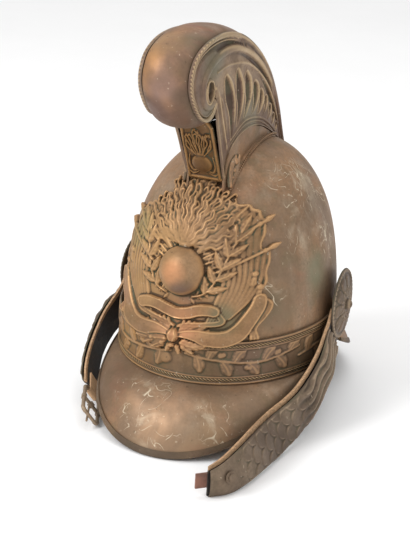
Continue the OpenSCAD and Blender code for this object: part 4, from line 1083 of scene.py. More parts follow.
# Pieces
class HELMET_OT_skull(bpy.types.Operator):
    """Beats the skull from one sheet of brass"""

    bl_idname = "helmet.skull"
    bl_label = "Skull"

    def execute(self, context):
        rows, cols = 90, 200
        level = np.sin(np.pi / 2 * np.arange(rows) / rows) ** (2 / SKULL_RISE)
        angle = 360 * np.arange(cols) / cols
        a, t = np.meshgrid(angle, level)
        w = np.radians(a)
        ripple = np.sin(w * 3 + 1) * np.sin(t * 9) + 0.6 * np.sin(w * 7 + t * 14)
        dent = -0.12 - 0.1 * ripple * ease(t * 5)
        dent = np.minimum(dent * ease(t * 30), 0)
        crown = SKULL_HEIGHT - 0.12
        tips = [[0, CROWN_SETBACK, crown], [0, CROWN_SETBACK, crown - SHEET]]
        points, faces = shell(
            skull_at(a, t, dent), skull_at(a, t, dent - SHEET), ring=True, pole=tips
        )
        piece = solid("brass_skull", "helmet", points, faces, "dome_brass")
        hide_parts("skull")
        return {"FINISHED"}


def brim_piece(name, form, node, finish):
    """A brim with its inner leg tucked under the band."""
    s = np.linspace(-BRIM_END, BRIM_END, 121)
    ss, vv = np.meshgrid(s, np.linspace(1, 0, 25))
    normal = brim_normal(ss, vv, form)
    dent = -0.22 + 0.22 * np.sin(ss * 7 + vv * 5) * np.sin(vv * 3.1)
    dent = dent * ease((1 - vv) * 8) * ease(vv * 6)
    outer = brim_raw(ss, vv, form) + dent[..., None] * normal
    inner = outer - SHEET * normal
    tuck_angle = form[0] + s * form[1]
    leg = skull_at(tuck_angle, TUCK / SKULL_HEIGHT, SEAT + SHEET)
    leg_in = skull_at(tuck_angle, TUCK / SKULL_HEIGHT, SEAT)
    points, faces = shell(
        np.concatenate([outer, leg[None]]), np.concatenate([inner, leg_in[None]])
    )
    piece = solid(name, "helmet", points, faces, finish)
    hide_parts(node)


def binding_piece(name, form, node):
    """The folded channel round a brim's edge, with a rolled outer face."""
    s = np.linspace(-BRIM_END, BRIM_END, 161)
    one = np.ones_like(s)
    fade = 0.25 + 0.75 * np.maximum(np.cos(np.radians(90 * s)), 0) ** 0.5
    normal = brim_normal(s, one, form)
    edge = brim_raw(s, one, form) - SHEET / 2 * normal
    back = unit(brim_raw(s, one * 0.94, form) - brim_raw(s, one, form))
    gap = SHEET / 2 + SEAT + HAIR

    def rails(high, out):
        turn = np.linspace(-90, 90, 9)
        rows = [(1, -high * 0.93, 0), (0.5, -high, 0)]
        rows += [
            (0, high * math.sin(math.radians(w)), out * math.cos(math.radians(w)) * 0.8)
            for w in turn
        ]
        rows += [(0.5, high, 0), (1, high * 0.93, 0)]
        return np.stack(
            [
                edge
                + back * (leg * fade * BINDING_WIDTH)[:, None]
                + normal * side
                - back * past
                for leg, side, past in rows
            ]
        )

    outer = rails(gap + BINDING_WALL, gap + BINDING_WALL)
    inner = rails(gap, gap)
    points, faces = shell(outer, inner)
    piece = solid(name, "helmet", points, faces, "edge_brass", sharp=60)
    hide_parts(node)


class HELMET_OT_brims(bpy.types.Operator):
    """Raises the visor and the neck guard and folds their edges"""

    bl_idname = "helmet.brims"
    bl_label = "Visor and neck guard"

    def execute(self, context):
        brim_piece("front_visor", VISOR, "visor", "visor_brass")
        brim_piece("back_neck_guard", GUARD, "neck_guard", "visor_brass")
        binding_piece("visor_edge", VISOR, "visor_binding")
        binding_piece("neck_guard_edge", GUARD, "neck_guard_binding")
        return {"FINISHED"}


# The band's ornament is drawn flat, unrolled from a circle of this radius
ARC_RADIUS = 104.0
STEM_HEIGHT = 22
BOSS = (-14.4, 19.5)
BEAD_HALVES, BEAD_CRESTS = (1.0, 1.8, 0.75), (0.72, 0.1, 0.5)


def arc(angle):
    """Length along the headband at an angle from the front."""
    return angle * ARC_RADIUS * math.pi / 180


def oak_spray(relief, root, lean):
    """An oak leaf that grows from a point of the stem."""
    d = toward(lean)
    tip = root + d * 14.5
    mid = (root + tip) / 2 + np.array([-d[1], d[0]]) * 0.8
    relief.band([root, mid, tip], [1.0, 5.2, 5.4, 2.0], 1.1, 1.8, "lobed", 8)


def acorn(relief, root, lean):
    """An acorn in its cup."""
    d = toward(lean)
    relief.dome(root + d * 3, 2.9, 0.9, 1.6)
    relief.dome(root + d * 5.4, 2.4, 0.9, 2.0)


def garland(relief):
    """Oak sprays on a waving stem, mirrored at the front and the back."""
    stem = ((4, 27), (14, 24), (24, 22), (34, 20), (44, 20), (54, 23), (64, 26.5))
    leaves = (
        (10, 26, -75), (16, 24, 60), (23, 22, -60), (29, 21, 52), (36, 20, -50), (44, 20, 50),
        (51, 22, -52), (58, 25, 40),
    )
    acorns = ((19.5, 23, 12), (33, 20, -12), (48, 21, 14))

    def spot(side, up, angle, z):
        return np.array([arc(side * angle), STEM_HEIGHT + up * (z - STEM_HEIGHT)])

    for side in (-1, 1):
        for start, up in ((0, 1), (60, -1), (120, 1)):
            path = [spot(side, up, start + angle, z) for angle, z in stem]
            relief.band(path, [0.9, 1.2, 1.2, 1.2, 0.9], 0.9, 1.9, "round", 24)
            for angle, z, lean in leaves:
                tilt = up * lean if side > 0 else 180 - up * lean
                oak_spray(relief, spot(side, up, start + angle, z), tilt)
            for angle, z, lean in acorns:
                tilt = up * lean if side > 0 else 180 - up * lean
                lift = 3.6 * up * (1 if lean > 0 else -1)
                shift = np.array([toward(tilt)[0] * 2, lift])
                acorn(relief, spot(side, up, start + angle, z) + shift, tilt)


def mouldings(relief, top):
    """The ground of each rope, with a bead on either side of the rope's own."""
    for ground, beads in (
        (relief.z < LOW_MOULDING_TOP, (1.3, LOW_ROPE, 7.0)),
        (relief.z > HIGH_MOULDING_FOOT, (38.2, HIGH_ROPE, 32.5)),
    ):
        relief.height = np.where(ground, 0.0, relief.height)
        for place, half, crest in zip(beads, BEAD_HALVES, BEAD_CRESTS):
            d = np.clip(np.abs(relief.z - place) / half, 0, 1)
            relief.height = np.maximum(relief.height, top * crest * np.sqrt(1 - d * d))


class HELMET_OT_headband(bpy.types.Operator):
    """Presses the headband's oak garland between two roped mouldings"""

    bl_idname = "helmet.headband"
    bl_label = "Headband"

    def execute(self, context):
        sizes = context.scene.helmet_sizes
        cols, rows = 880, 58
        angle = -180 + 360 * np.arange(cols) / cols
        height = mix(0.2, BAND_HEIGHT, np.linspace(0, 1, rows))
        a, z = np.meshgrid(angle, height)
        relief = Relief(arc(a), z, 0.0)
        field = BAND_UNDER + BAND_SHEET
        top = ROPE_PROUD - field
        garland(relief)
        relief.height = np.maximum(relief.height - 0.9, 0)
        relief.dome(BOSS, 5.4, 0.2, 1.3, stretch=(1.5, 1.0))
        relief.height = blur(relief.height, 1, wrap=True)
        mouldings(relief, top)
        off = field + np.minimum(relief.height, top)
        outer = skull_at(a, z / SKULL_HEIGHT, off)
        flat_angle, flat_z = np.meshgrid(angle, [0.2, BAND_HEIGHT])
        inner = skull_at(flat_angle, flat_z / SKULL_HEIGHT, BAND_UNDER)
        points, faces = shell(outer, inner, ring=True)
        # Darker in the hollows, partly painted shade, and darker on the low ground, lighter on the
        # raised ornament
        wear_and_shading = 0.5 * wear_and_shading_of(relief.height, 6, 2.2, wrap=True)
        wear_and_shading += 0.9 * wear_and_shading_of(relief.height, 2, 2.6, wrap=True)
        wear_and_shading = np.clip(wear_and_shading + 0.5 * relief.height / top - 0.3, -1, 1)
        wear_and_shading = np.concatenate([wear_and_shading.ravel(), np.full(2 * cols, -0.2)])
        piece = solid(
            "oak_headband", "helmet", points, faces, "band_brass", wear_and_shading, sharp=70
        )
        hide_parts("headband")
        tree = rope_tree()
        ring = 360 * np.arange(RING_POINTS) / RING_POINTS
        radius = sizes.rope_radius / MM
        for name, place in (("lower_rope", LOW_ROPE), ("upper_rope", HIGH_ROPE)):
            centre = skull_at(ring, place / SKULL_HEIGHT, ROPE_PROUD - radius - 0.02)
            grow(
                name, "helmet", centre, tree, "rope_brass",
                {"Radius": sizes.rope_radius, "Turns": sizes.rope_turns, "Count": ROPE_POINTS},
            )
        return {"FINISHED"}


# The front plate, in front view. Its ornament sits a little to the wearer's right of the middle.
def flames(relief, crest):
    """Wavy tongues of fire that rise from the grenade, with curled tips."""
    draw = np.random.default_rng(7)
    mass = [
        [0, 116], [10, 120], [20, 126], [27, 133], [28, 142], [25, 150], [18, 157], [11, 162],
        [3, 166], [-4, 166], [-12, 162], [-20, 156], [-28, 149], [-33, 141], [-31, 133],
        [-20, 126], [-10, 120],
    ]
    relief.patch(mass, PLATE_SHEET + 0.7, lambda x, z: 0.7 * np.exp(-(((x - 1) / 15) ** 2)))
    for layer, count in ((0, 42), (1, 36), (2, 24)):
        for k in range(count):
            spread = (k + 0.5) / count * 2 - 1
            lean = spread * (96, 80, 58)[layer] + draw.uniform(-3, 3)
            full = 52 - 17 * abs(spread) ** 1.3
            start = (0.3, 0.14, 0.0)[layer] * full * draw.uniform(0.4, 1.2)
            end = full * (1.02, 0.88, 0.7)[layer] * draw.uniform(0.88, 1.06)
            turn = math.radians(lean)
            out = np.array([math.sin(turn), math.cos(turn)])
            across = np.array([out[1], -out[0]])
            phase, swing = 5.0 * spread + draw.uniform(-0.8, 0.8), draw.uniform(0.9, 1.8)
            path = []
            for u in np.linspace(0, 1, 12):
                far = mix(start, end, u)
                wave = swing * math.sin(phase + far * 0.66) * (0.3 + 0.7 * u)
                bow = -7.0 * spread * (far / 45) ** 2 * abs(spread)
                root = np.array([3 * spread, FLAME_ROOT])
                path.append(root + out * far + across * (wave + bow))
            way = unit(path[-1] - path[-2])
            curl = math.radians(48) * (1 if draw.uniform() < 0.5 else -1)
            for _ in range(3 if layer < 2 else 1):
                way = turned(way, curl)
                path.append(path[-1] + way * 1.5)
            roof = FLAME_TOP - max(abs(path[-1][0]) - 14, 0) * 0.4 + draw.uniform(-1.5, 0.5)
            path = [[q[0], min(q[1], roof)] for q in path]
            base = PLATE_SHEET + 1.1 + layer * 0.9 + draw.uniform(-0.3, 0.5)
            relief.band(path, [0.9, 1.3, 1.35, 1.2, 0.8, 0.35], base, crest, "round", 26)


def flip(points, side):
    """Points turned over to the plate's other side, where the upper ornaments stand lower."""
    if side > 0:
        return points
    return [
        [-q[0], q[1] - 9 * float(ease((q[0] - 14) / 18)) * float(ease((q[1] - 108) / 30))]
        for q in points
    ]


def pleats(relief, side, near_edge, far_edge, count, base, crest):
    """Cloth in pleats that run side by side between two edges."""
    share = np.linspace(0, 1, 9)
    a, b = along(near_edge, share), along(far_edge, share)
    halves = np.linalg.norm(b - a, axis=1) / (2 * count) * 1.12
    for k in range(count):
        path = mix(a, b, (k + 0.5) / count)
        relief.band(flip(path.tolist(), side), list(halves), base, crest, "round", 16)


def laurel(relief, side):
    """A laurel branch that rises beside the ball, its leaves in pairs."""
    stem = flip(
        [[12, 77], [21, 80], [27, 87], [31, 95], [34, 104], [37, 113], [40, 123], [42, 130]], side
    )
    relief.band(stem, [1.0, 1.0, 0.9, 0.8, 0.6], 3.0, 1.6, "round", 24)
    leaves = (
        (0.16, 62, 13.5), (0.2, -38, 14.5), (0.34, 58, 14), (0.38, -44, 15), (0.52, 48, 15),
        (0.54, -44, 13.5), (0.68, 40, 14.5), (0.7, -40, 13), (0.84, 32, 13), (0.86, -36, 12),
        (0.98, 0, 11),
    )
    for u, lean, size in leaves:
        p = along(stem, u)[0]
        d = unit(along(stem, min(u + 0.02, 1))[0] - along(stem, u - 0.02)[0])
        out = turned(d, math.radians(lean * side))
        relief.band(
            [p, p + out * size * 0.5 + d * 0.6, p + out * size + d * 1.6],
            [0.6, 3.3, 2.7, 0.3], 3.2, 2.3, "leaf", 12,
        )
        if lean > 0 and u < 0.8:
            relief.dome(p + out * size * 0.42 + d * 3.6, 1.3, 3.0, 1.9)


def flags(relief, side):
    """Three flags on spear-headed poles, their cloth in long hanging pleats."""
    pleats(
        relief, side, [[12, 128], [19, 139], [26, 150]], [[29, 119], [42, 128], [54, 138]],
        5, 1.5, 1.7,
    )
    pleats(
        relief, side, [[26, 117], [30, 109], [33, 102]], [[54, 136], [56, 125], [57, 115]],
        6, 1.3, 1.8,
    )
    pleats(
        relief, side, [[31, 100], [34, 90], [32, 78], [28, 66], [25, 57]],
        [[62.5, 115], [63, 102], [62.5, 90], [57, 76], [44, 60]], 8, 1.0, 2.3,
    )
    rims = (
        [[24, 150], [30, 151], [35, 149], [42, 149], [45, 146], [50, 144.5], [52, 140], [56, 137]],
        [[56, 135], [57.5, 128], [56.5, 121], [58, 115]],
        [[63, 115], [64.5, 106], [63.5, 98], [65, 90], [62.5, 83]],
    )
    for rim in rims:
        relief.band(flip(rim, side), [1.2, 1.4, 1.2], 1.8, 1.6, "round", 18)
    for start, end, half in (
        ((11, 112), (36, 142), 2.2), ((27, 117), (54, 136), 1.3), ((30, 99), (62, 115.5), 1.3),
    ):
        a, b = (np.array(q) for q in flip([start, end], side))
        d = unit(b - a)
        relief.band([a, b], [half, half], 2.9, 1.7, "round", 6)
        relief.band([b - d, b + d * 4, b + d * 8.5], [0.9, 2.5, 0.3], 2.6, 2.2, "leaf", 8)
        relief.dome(b - d * 1.5, 2.2, 2.8, 1.9)
    for x, z in ((57, 97), (61.5, 86)):
        relief.dome((side * x, z), 2.4, 3.0, 1.9)
        relief.band(flip([[x, z - 1], [x - 0.4, z - 8]], side), [1.0, 2.1, 2.6], 2.6, 1.4, "flat", 5)
        for k in (-1.3, 0, 1.3):
            relief.band(
                flip([[x + k * 0.6, z - 3], [x + k, z - 8]], side), [0.4, 0.5], 3.6, 0.8, "round", 3
            )


def reeds(relief, side):
    """Straight reeds between the ball and the flames, and small leaves behind the ball."""
    for k in range(6):
        start = np.array([10 + k * 2.2, 122 - k * 4.4])
        d = unit(np.array([0.72 + 0.05 * k, 0.7 - 0.07 * k]))
        relief.band(flip([start - d * 6, start + d * 11], side), [0.8, 1.1], 1.9, 1.2, "round", 5)
    draw = np.random.default_rng(11)
    for k in range(34):
        w = math.radians(mix(-60, 75, k / 33) + draw.uniform(-4, 4))
        far = draw.uniform(19.5, 27)
        p = np.array([math.cos(w) * far, BALL_MIDDLE + math.sin(w) * far])
        turn = w + draw.uniform(-0.9, 0.9)
        d = np.array([math.cos(turn), math.sin(turn)])
        relief.band(
            flip([p, p + d * 3.4, p + d * 7], side), [0.4, 1.5, 0.2], 1.4, 1.3, "leaf", 6
        )


def ribbons(relief):
    """The banner, the knot and the two long tails, left bare."""
    fold = [[29, 65], [33, 60], [30, 56], [20, 54.5], [9, 53], [2, 50]]
    for side in (-1, 1):
        if side < 0:
            fold = [[35, 63], [38, 58], [34, 55.5], [22, 54], [9, 52.5], [2, 50]]
        relief.band(flip(fold, side), [2.4, 2.8, 2.6, 2.2, 1.4], 2.8, 1.5, "ribbon", 24)
        curl = [[62, 77], [68.5, 70], [66.5, 62], [61.5, 53.5], [60, 46]]
        relief.band(flip(curl, side), [2.4, 3.2, 3.2, 2.9, 2.0], 1.8, 1.8, "ribbon", 24)
        for k in range(3):
            x = 58 + 2.2 * k
            relief.band(
                flip([[x, 48], [x + 0.6, 42.5]], side), [0.8, 1.2], 1.8, 1.9, "round", 4
            )
        for k in range(7):
            lean = math.radians(12 + 12.5 * k)
            d = np.array([math.sin(lean), math.cos(lean) * 0.62])
            start = np.array([3.5, 44.5])
            path = [start, start + d * 9, start + d * (18 + 1.5 * k)]
            relief.band(flip(path, side), [0.7, 1.2, 1.5], 3.0 - 0.1 * k, 1.3, "round", 8)
        tail = [
            [4, 44], [12, 45], [20, 44.5], [28, 42.8], [37, 42.4], [45, 44.5], [51.5, 50],
            [57, 59], [61.5, 69], [62.5, 76],
        ]
        halves = [2.6, 3.8, 5.2, 6.4, 6.9, 6.8, 6.6, 6.0, 5.4, 4.6]
        relief.band(flip(tail, side), halves, 3.1, 2.0, "ribbon", 48)
    banner = [[-35, 62], [-27, 64.8], [-18, 65], [-7, 62.8], [1, 61.5], [10, 63], [18, 66], [26, 67],
              [31, 66]]
    relief.band(banner, [4.9, 5.2, 5.3, 5.3, 5.3, 5.2, 4.7], 4.1, 2.0, "ribbon", 40)
    relief.dome((0, 42.8), 5.8, 3.2, 4.6, 2.6, (0.86, 1.0))
    for k in (-1, 1):
        relief.band(
            [[k * 1.4, 48], [k * 2.6, 43], [k * 1.4, 37.8]], [0.6, 1.0, 0.6], 7.0, 0.9, "round", 8
        )


def oak_cluster(relief):
    """Oak leaves and acorns under the knot."""
    leaves = (
        (-6, 38, 190, 1.25), (-15, 36, 176, 1.15), (-24, 35, 190, 1.0), (-8, 35, 214, 1.1),
        (6, 37, -14, 1.2), (12, 35, -2, 1.05), (3, 34, -70, 0.65), (-3, 34, -110, 0.65),
        (-18, 34, 208, 0.8), (17, 35, 8, 0.8), (8, 33.5, -28, 0.8),
    )
    for x, z, lean, size in leaves:
        d = toward(lean)
        start = np.array([x, z])
        relief.band(
            [start, start + d * 6.5 * size + [0, 0.6], start + d * 13 * size],
            [1.0, 4.0 * size, 3.4 * size, 0.8], 2.6, 2.3, "lobed", 16,
        )
    for x, z in ((-10, 34), (9, 33.5), (-1, 33.5), (-20, 36)):
        relief.dome((x, z), 2.2, 3.2, 2.0)


def plate_relief(x, z, crest):
    """The plate's whole ornament over points of the front view."""
    relief = Relief(x - PLATE_MIDDLE, z, PLATE_SHEET)
    ground = [
        [0, 32], [14, 32], [26, 35], [40, 37], [52, 42], [60, 50], [65, 62], [63, 80], [63, 100],
        [58, 118], [46, 126], [36, 134], [26, 146], [10, 156], [0, 158],
    ]
    outline = ground + [[-p[0], p[1]] for p in reversed(ground)]
    relief.patch(outline, PLATE_SHEET)
    for side in (-1, 1):
        reeds(relief, side)
        flags(relief, side)
    flames(relief, crest)
    for side in (-1, 1):
        laurel(relief, side)
    oak_cluster(relief)
    ribbons(relief)
    relief.dome((0, BALL_MIDDLE), BALL_RADIUS, 0.4, BALL_PROUD)
    relief.dome((0, 117.5), 4.6, 4.2, 2.6, 2.0, (1.3, 0.6))
    relief.height = blur(relief.height, 1)
    return relief


class HELMET_OT_front_plate(bpy.types.Operator):
    """Embosses the front plate: grenade, flags, laurel, ribbons and oak"""

    bl_idname = "helmet.front_plate"
    bl_label = "Front plate"

    def execute(self, context):
        sizes = context.scene.helmet_sizes
        step = 0.57
        x, z = np.meshgrid(np.arange(-75, 72.1, step), np.arange(26, 170.1, step))
        relief = plate_relief(x, z, sizes.flame_relief / MM)
        kept = (x > -71) & (x < 69) & (z > 27) & (z < FLAME_TOP + 0.6)
        relief.inside = np.where(kept, relief.inside, -99.0)

        def place(px, pz, height):
            lift = (ROPE_PROUD + 0.1) * (1 - ease((pz - BAND_HEIGHT - 3) / 9))
            return front_at(px + PLATE_MIDDLE, pz, PLATE_IN + lift + height)

        points, faces, wear_and_shading = pressed_sheet(relief, place, np.zeros_like(x))
        piece = solid(
            "trophy_plate", "helmet", points, faces, "plate_brass", wear_and_shading, sharp=75
        )
        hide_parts("front_plate")
        return {"FINISHED"}


# The comb
def comb_relief(y, z, depth):
    """Coves, beads, flutes and volute of a comb side, in side view."""
    relief = Relief(y, z, 0.0)
    second = [
        [-92, 257], [-96, 250.6], [-104.5, 248.7], [-112.5, 252], [-117, 260], [-116, 270],
        [-108.5, 279], [-95, 285], [-77, 287.7], [-56, 286.6], [-37, 282], [-15.6, 273.5],
        [6, 260.8], [26.6, 245], [45.8, 225.8], [61, 205], [70, 188],
    ]
    third = [
        [-88, 274], [-68, 274.6], [-51.6, 272.5], [-36, 269.6], [-20, 264.8], [-4, 257.4],
        [12.5, 247], [29.6, 233.7], [44, 218.6], [56, 202], [64, 188],
    ]
    relief.band(second, [2.6, 3.4, 3.8, 3.6, 2.8, 2.0], 0.0, 2.3, "round", 80)
    relief.band(third, [1.0, 1.5, 1.5, 1.2, 0.9], 0.0, 1.3, "round", 60)
    flutes = (
        ([[-67, 262], [-59.5, 250], [-51, 235], [-48.5, 219], [-49.5, 207]], 8.0),
        ([[-41.5, 261], [-35.5, 247.5], [-32.5, 237], [-34, 225], [-38.5, 214.5]], 7.4),
        ([[-21.5, 254.5], [-16, 244], [-14.3, 235], [-18, 226], [-23, 218]], 6.8),
        ([[-1.5, 242], [3.5, 232.5], [2, 224.5], [-4.5, 217]], 6.0),
        ([[14, 231], [17, 223], [14, 217], [8.5, 213]], 4.8),
        ([[26.5, 222], [29.2, 215.5], [25, 209.5]], 4.0),
        ([[38.5, 211], [41, 205.5], [36.8, 201]], 3.5),
        ([[49, 200], [50, 195.5], [46, 192.5]], 2.9),
        ([[58.5, 189.5], [59, 185.5], [56, 183.5]], 2.3),
    )
    for path, half in flutes:
        relief.hollow(
            path, [half * 0.5, half, half * 0.86, half * 0.5, 0.6], depth * (half / 8) ** 0.7,
            0.9, 16,
        )
    for line, halves, crest in (
        ([[-93, 262], [-85.7, 254.4], [-79, 241.6], [-71.5, 227.5], [-63, 210.5], [-58, 199]],
         [2.2, 1.5, 1.3, 1.0], 2.1),
        ([[-96.5, 252], [-89.5, 238.5], [-82, 224], [-73.5, 206], [-64.5, 187]],
         [1.6, 1.4, 1.4], 1.7),
        ([[-57, 201], [-42, 208.5], [-27.7, 213.3], [-12.4, 213.6], [8.6, 209.2],
          [25, 202.5], [42.4, 192.5], [56, 183]], [0.9, 1.3, 1.3, 0.9], 1.4),
        ([[-57.5, 197], [-42, 205], [-27.5, 209.9], [-12.2, 210.2], [8.2, 206],
          [24.3, 199.4], [41.2, 189.8], [55, 180.5]], [0.7, 1.0, 1.0, 0.7], 1.1),
        ([[-78, 250], [-71, 240], [-64, 226], [-59, 212]], [0.8, 2.6, 2.2, 0.6], 1.2),
    ):
        relief.band(line, halves, 0.0, crest, "round", 36)
    away = np.hypot((y - VOLUTE_BACK) / 8.6, (z - VOLUTE_UP) / 10.2)
    relief.height = np.where(
        away < 1, -4.6 * np.sqrt(np.clip(1 - away * away, 0, 1)), relief.height
    )
    return relief.height


def comb_rims(height, from_rim, from_inner, first):
    """The height of a comb side with the cove, the line and the beads along its edges."""
    cove = -2.4 * np.sin(np.pi * np.clip((from_rim - RIM_BEAD) / np.maximum(first - 3.2, 1), 0, 1))
    height = np.where(np.abs(height) < 0.3, height + cove, height)
    line = 1.1 * np.sqrt(np.clip(1 - (from_rim - 4.2) ** 2, 0, 1))
    height = np.where(line > 0, np.maximum(height, line), height)
    bead = BEAD_HEIGHT * np.sqrt(np.clip(1 - (from_rim / RIM_BEAD) ** 2, 0, 1))
    height = blur(np.maximum(height, np.where(from_rim < RIM_BEAD, bead, -99)), 1)
    bead = 1.5 * np.sqrt(np.clip(1 - (from_inner / INNER_BEAD) ** 2, 0, 1))
    height = np.where(from_inner < INNER_BEAD, np.maximum(height, bead), height)
    return np.minimum(height, BEAD_HEIGHT)


def comb_side_piece(name, side, node, depth):
    """One side of the comb with its relief on the outer face."""
    cols, rows = 470, 96
    i = np.linspace(0, SIDE_STEPS, cols)
    outer, inner = comb_outer(i), comb_inner(i)
    length = np.hypot(outer[:, 0] - inner[:, 0], outer[:, 1] - inner[:, 1])
    first = np.minimum(16, 0.34 * length)
    start = -0.14 * first / length
    f = start[None] + (1 - start[None]) * np.linspace(0, 1, rows)[:, None]
    p = mix(outer[None], inner[None], f[..., None])
    y, z = p[..., 0], p[..., 1]
    from_rim = f * length[None]
    from_inner = (1 - f) * length[None]
    height = comb_rims(comb_relief(y, z, depth), from_rim, from_inner, first)
    half = p[..., 2]
    skin = threes(side * (half + height), y, z)
    back = threes(side * (half - SHEET + np.minimum(height, 0)), y, z)
    points, faces = shell(skin, back)
    # Darker in the hollows and brighter on the crests, deep flutes darker still: crust and painted
    # shade, polish and painted highlight
    wear_and_shading = 0.7 * wear_and_shading_of(height, 16, 0.5) + 0.6 * wear_and_shading_of(height, 4, 1.2)
    wear_and_shading = np.where(height < -1.2, wear_and_shading - 0.35, wear_and_shading)
    # A dotted bright line along the front rim: painted highlights on the rim's bead, with polish
    front_rim = (from_rim < 2.6) & (y < -40) & (z > 238)
    bead_glints = 0.55 + 0.45 * np.sin(i[None] / SIDE_STEPS * 900 + from_rim * 3)
    wear_and_shading = both_faces(np.clip(np.where(front_rim, bead_glints, wear_and_shading), -1, 1), -0.4)
    piece = solid(name, "helmet", points, faces, "comb_brass", wear_and_shading, sharp=70)
    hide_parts(node)


def volute_eye(name, side):
    """The dished eye of the volute, with a rolled rim."""
    rows, cols = 26, 96
    w, r = np.meshgrid(2 * math.pi * np.arange(cols) / cols, np.linspace(1, 0.02, rows))
    rim = 1.9 * np.sqrt(np.clip(1 - ((r - 0.93) / 0.14) ** 2, 0, 1))
    bowl = -4.0 * np.sqrt(np.clip(1 - (r / 0.9) ** 2, 0, 1))
    height = np.where(r > 0.86, rim, bowl + rim)
    y = VOLUTE_BACK + 8.9 * r * np.cos(w)
    z = VOLUTE_UP + 10.5 * r * np.sin(w)
    skin = threes(side * (COMB_HALF_WIDTH + height), y, z)
    under = threes(side * (COMB_HALF_WIDTH + np.minimum(height, 0) - 0.9), y, z)
    tips = [
        [side * (COMB_HALF_WIDTH - depth), VOLUTE_BACK, VOLUTE_UP] for depth in (4.0, 4.9)
    ]
    points, faces = shell(skin, under, ring=True, pole=tips)
    # The dished eye painted dark and its rim bright: painted shade and painted highlight, with crust
    # and polish
    wear_and_shading = np.concatenate([np.clip(height / 2, -1, 1).ravel(), np.zeros(height.size), [-1, 0]])
    solid(name, "helmet", points, faces, "comb_brass", wear_and_shading, sharp=60)


class HELMET_OT_comb_sides(bpy.types.Operator):
    """Presses the fluted sides of the comb"""

    bl_idname = "helmet.comb_sides"
    bl_label = "Comb sides"

    def execute(self, context):
        depth = context.scene.helmet_sizes.flute_depth / MM
        comb_side_piece("fluted_side_left", 1, "comb_left_side", depth)
        comb_side_piece("fluted_side_right", -1, "comb_right_side", depth)
        volute_eye("volute_eye_left", 1)
        volute_eye("volute_eye_right", -1)
        return {"FINISHED"}


class HELMET_OT_comb_crest(bpy.types.Operator):
    """Raises the roll that runs over the comb from the volute to the tail"""

    bl_idname = "helmet.comb_crest"
    bl_label = "Crest roll"

    def execute(self, context):
        rows, cols = 220, 41
        u = np.linspace(0, 1, rows)
        e = 0.004
        p = widen(along(CREST_LINE, u))
        q = along(CREST_LINE, np.minimum(u + e, 1)) - along(CREST_LINE, np.maximum(u - e, 0))
        n = unit(np.column_stack([-q[:, 1], q[:, 0]]))
        share = np.sin(np.pi / 2 * np.linspace(-1, 1, cols))
        half = p[:, 2] - SHEET - SEAT
        swell = ROLL_SWELL * mix(0.25, 1, ease(u / 0.12)) * mix(1, 0.36, ease((u - 0.3) / 0.7))
        curve = np.maximum(1 - share**2, 0) ** 0.55

        def skin(depth, dent):
            rise = curve[None] * swell[:, None] - depth + dent
            return threes(
                share[None] * half[:, None],
                p[:, 0][:, None] + n[:, 0][:, None] * rise,
                p[:, 1][:, None] + n[:, 1][:, None] * rise,
            )

        dent = -0.35 * curve[None] * (
            0.5 + 0.5 * np.sin(u[:, None] * 31) * np.cos(share[None] * 3 + u[:, None] * 9)
        )
        points, faces = shell(skin(0, dent), skin(SHEET, dent))
        # Darker toward the roll's sides and in its dents, lighter along its top: painted shade and
        # painted highlight, with crust
        edge = 0.9 * (curve[None] - 0.75) - 1.4 * np.abs(dent) + 0.1
        wear_and_shading = both_faces(edge, -0.3)
        piece = solid("crest_roll", "helmet", points, faces, "crest_brass", wear_and_shading, sharp=50)
        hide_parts("comb_crest")
        return {"FINISHED"}


# Foot and head of the panel's middle line, in side view
MASK_FOOT, MASK_HEAD = np.array([-57.5, 169.0]), np.array([-84.0, 234.0])


def small_flames(relief, half, root):
    """Curled tongues of fire over the panel's small grenade."""
    draw = np.random.default_rng(3)
    for k in range(12):
        lean = (k - 5.5) / 5.5 + draw.uniform(-0.05, 0.05)
        far = 29 - 10 * abs(lean) + draw.uniform(-5, 3)
        bend = draw.uniform(-1.1, 1.1)
        curl = math.copysign(draw.uniform(1.2, 2.6), lean + draw.uniform(-0.6, 0.6))
        path = [
            [lean * 3, root], [lean * 8 + bend, root + far * 0.3],
            [lean * 11 - bend, root + far * 0.58], [lean * 12.5 + bend, root + far * 0.82],
            [lean * 12.5 + curl, root + far], [lean * 12 + 2 * curl, root + far * 0.88],
        ]
        path = [[np.clip(x, 4 - half, half - 4), v] for x, v in path]
        relief.band(path, [0.5, 0.8, 0.9, 0.9, 0.9, 0.4], SHEET + 0.1, 2.0, "round", 18)


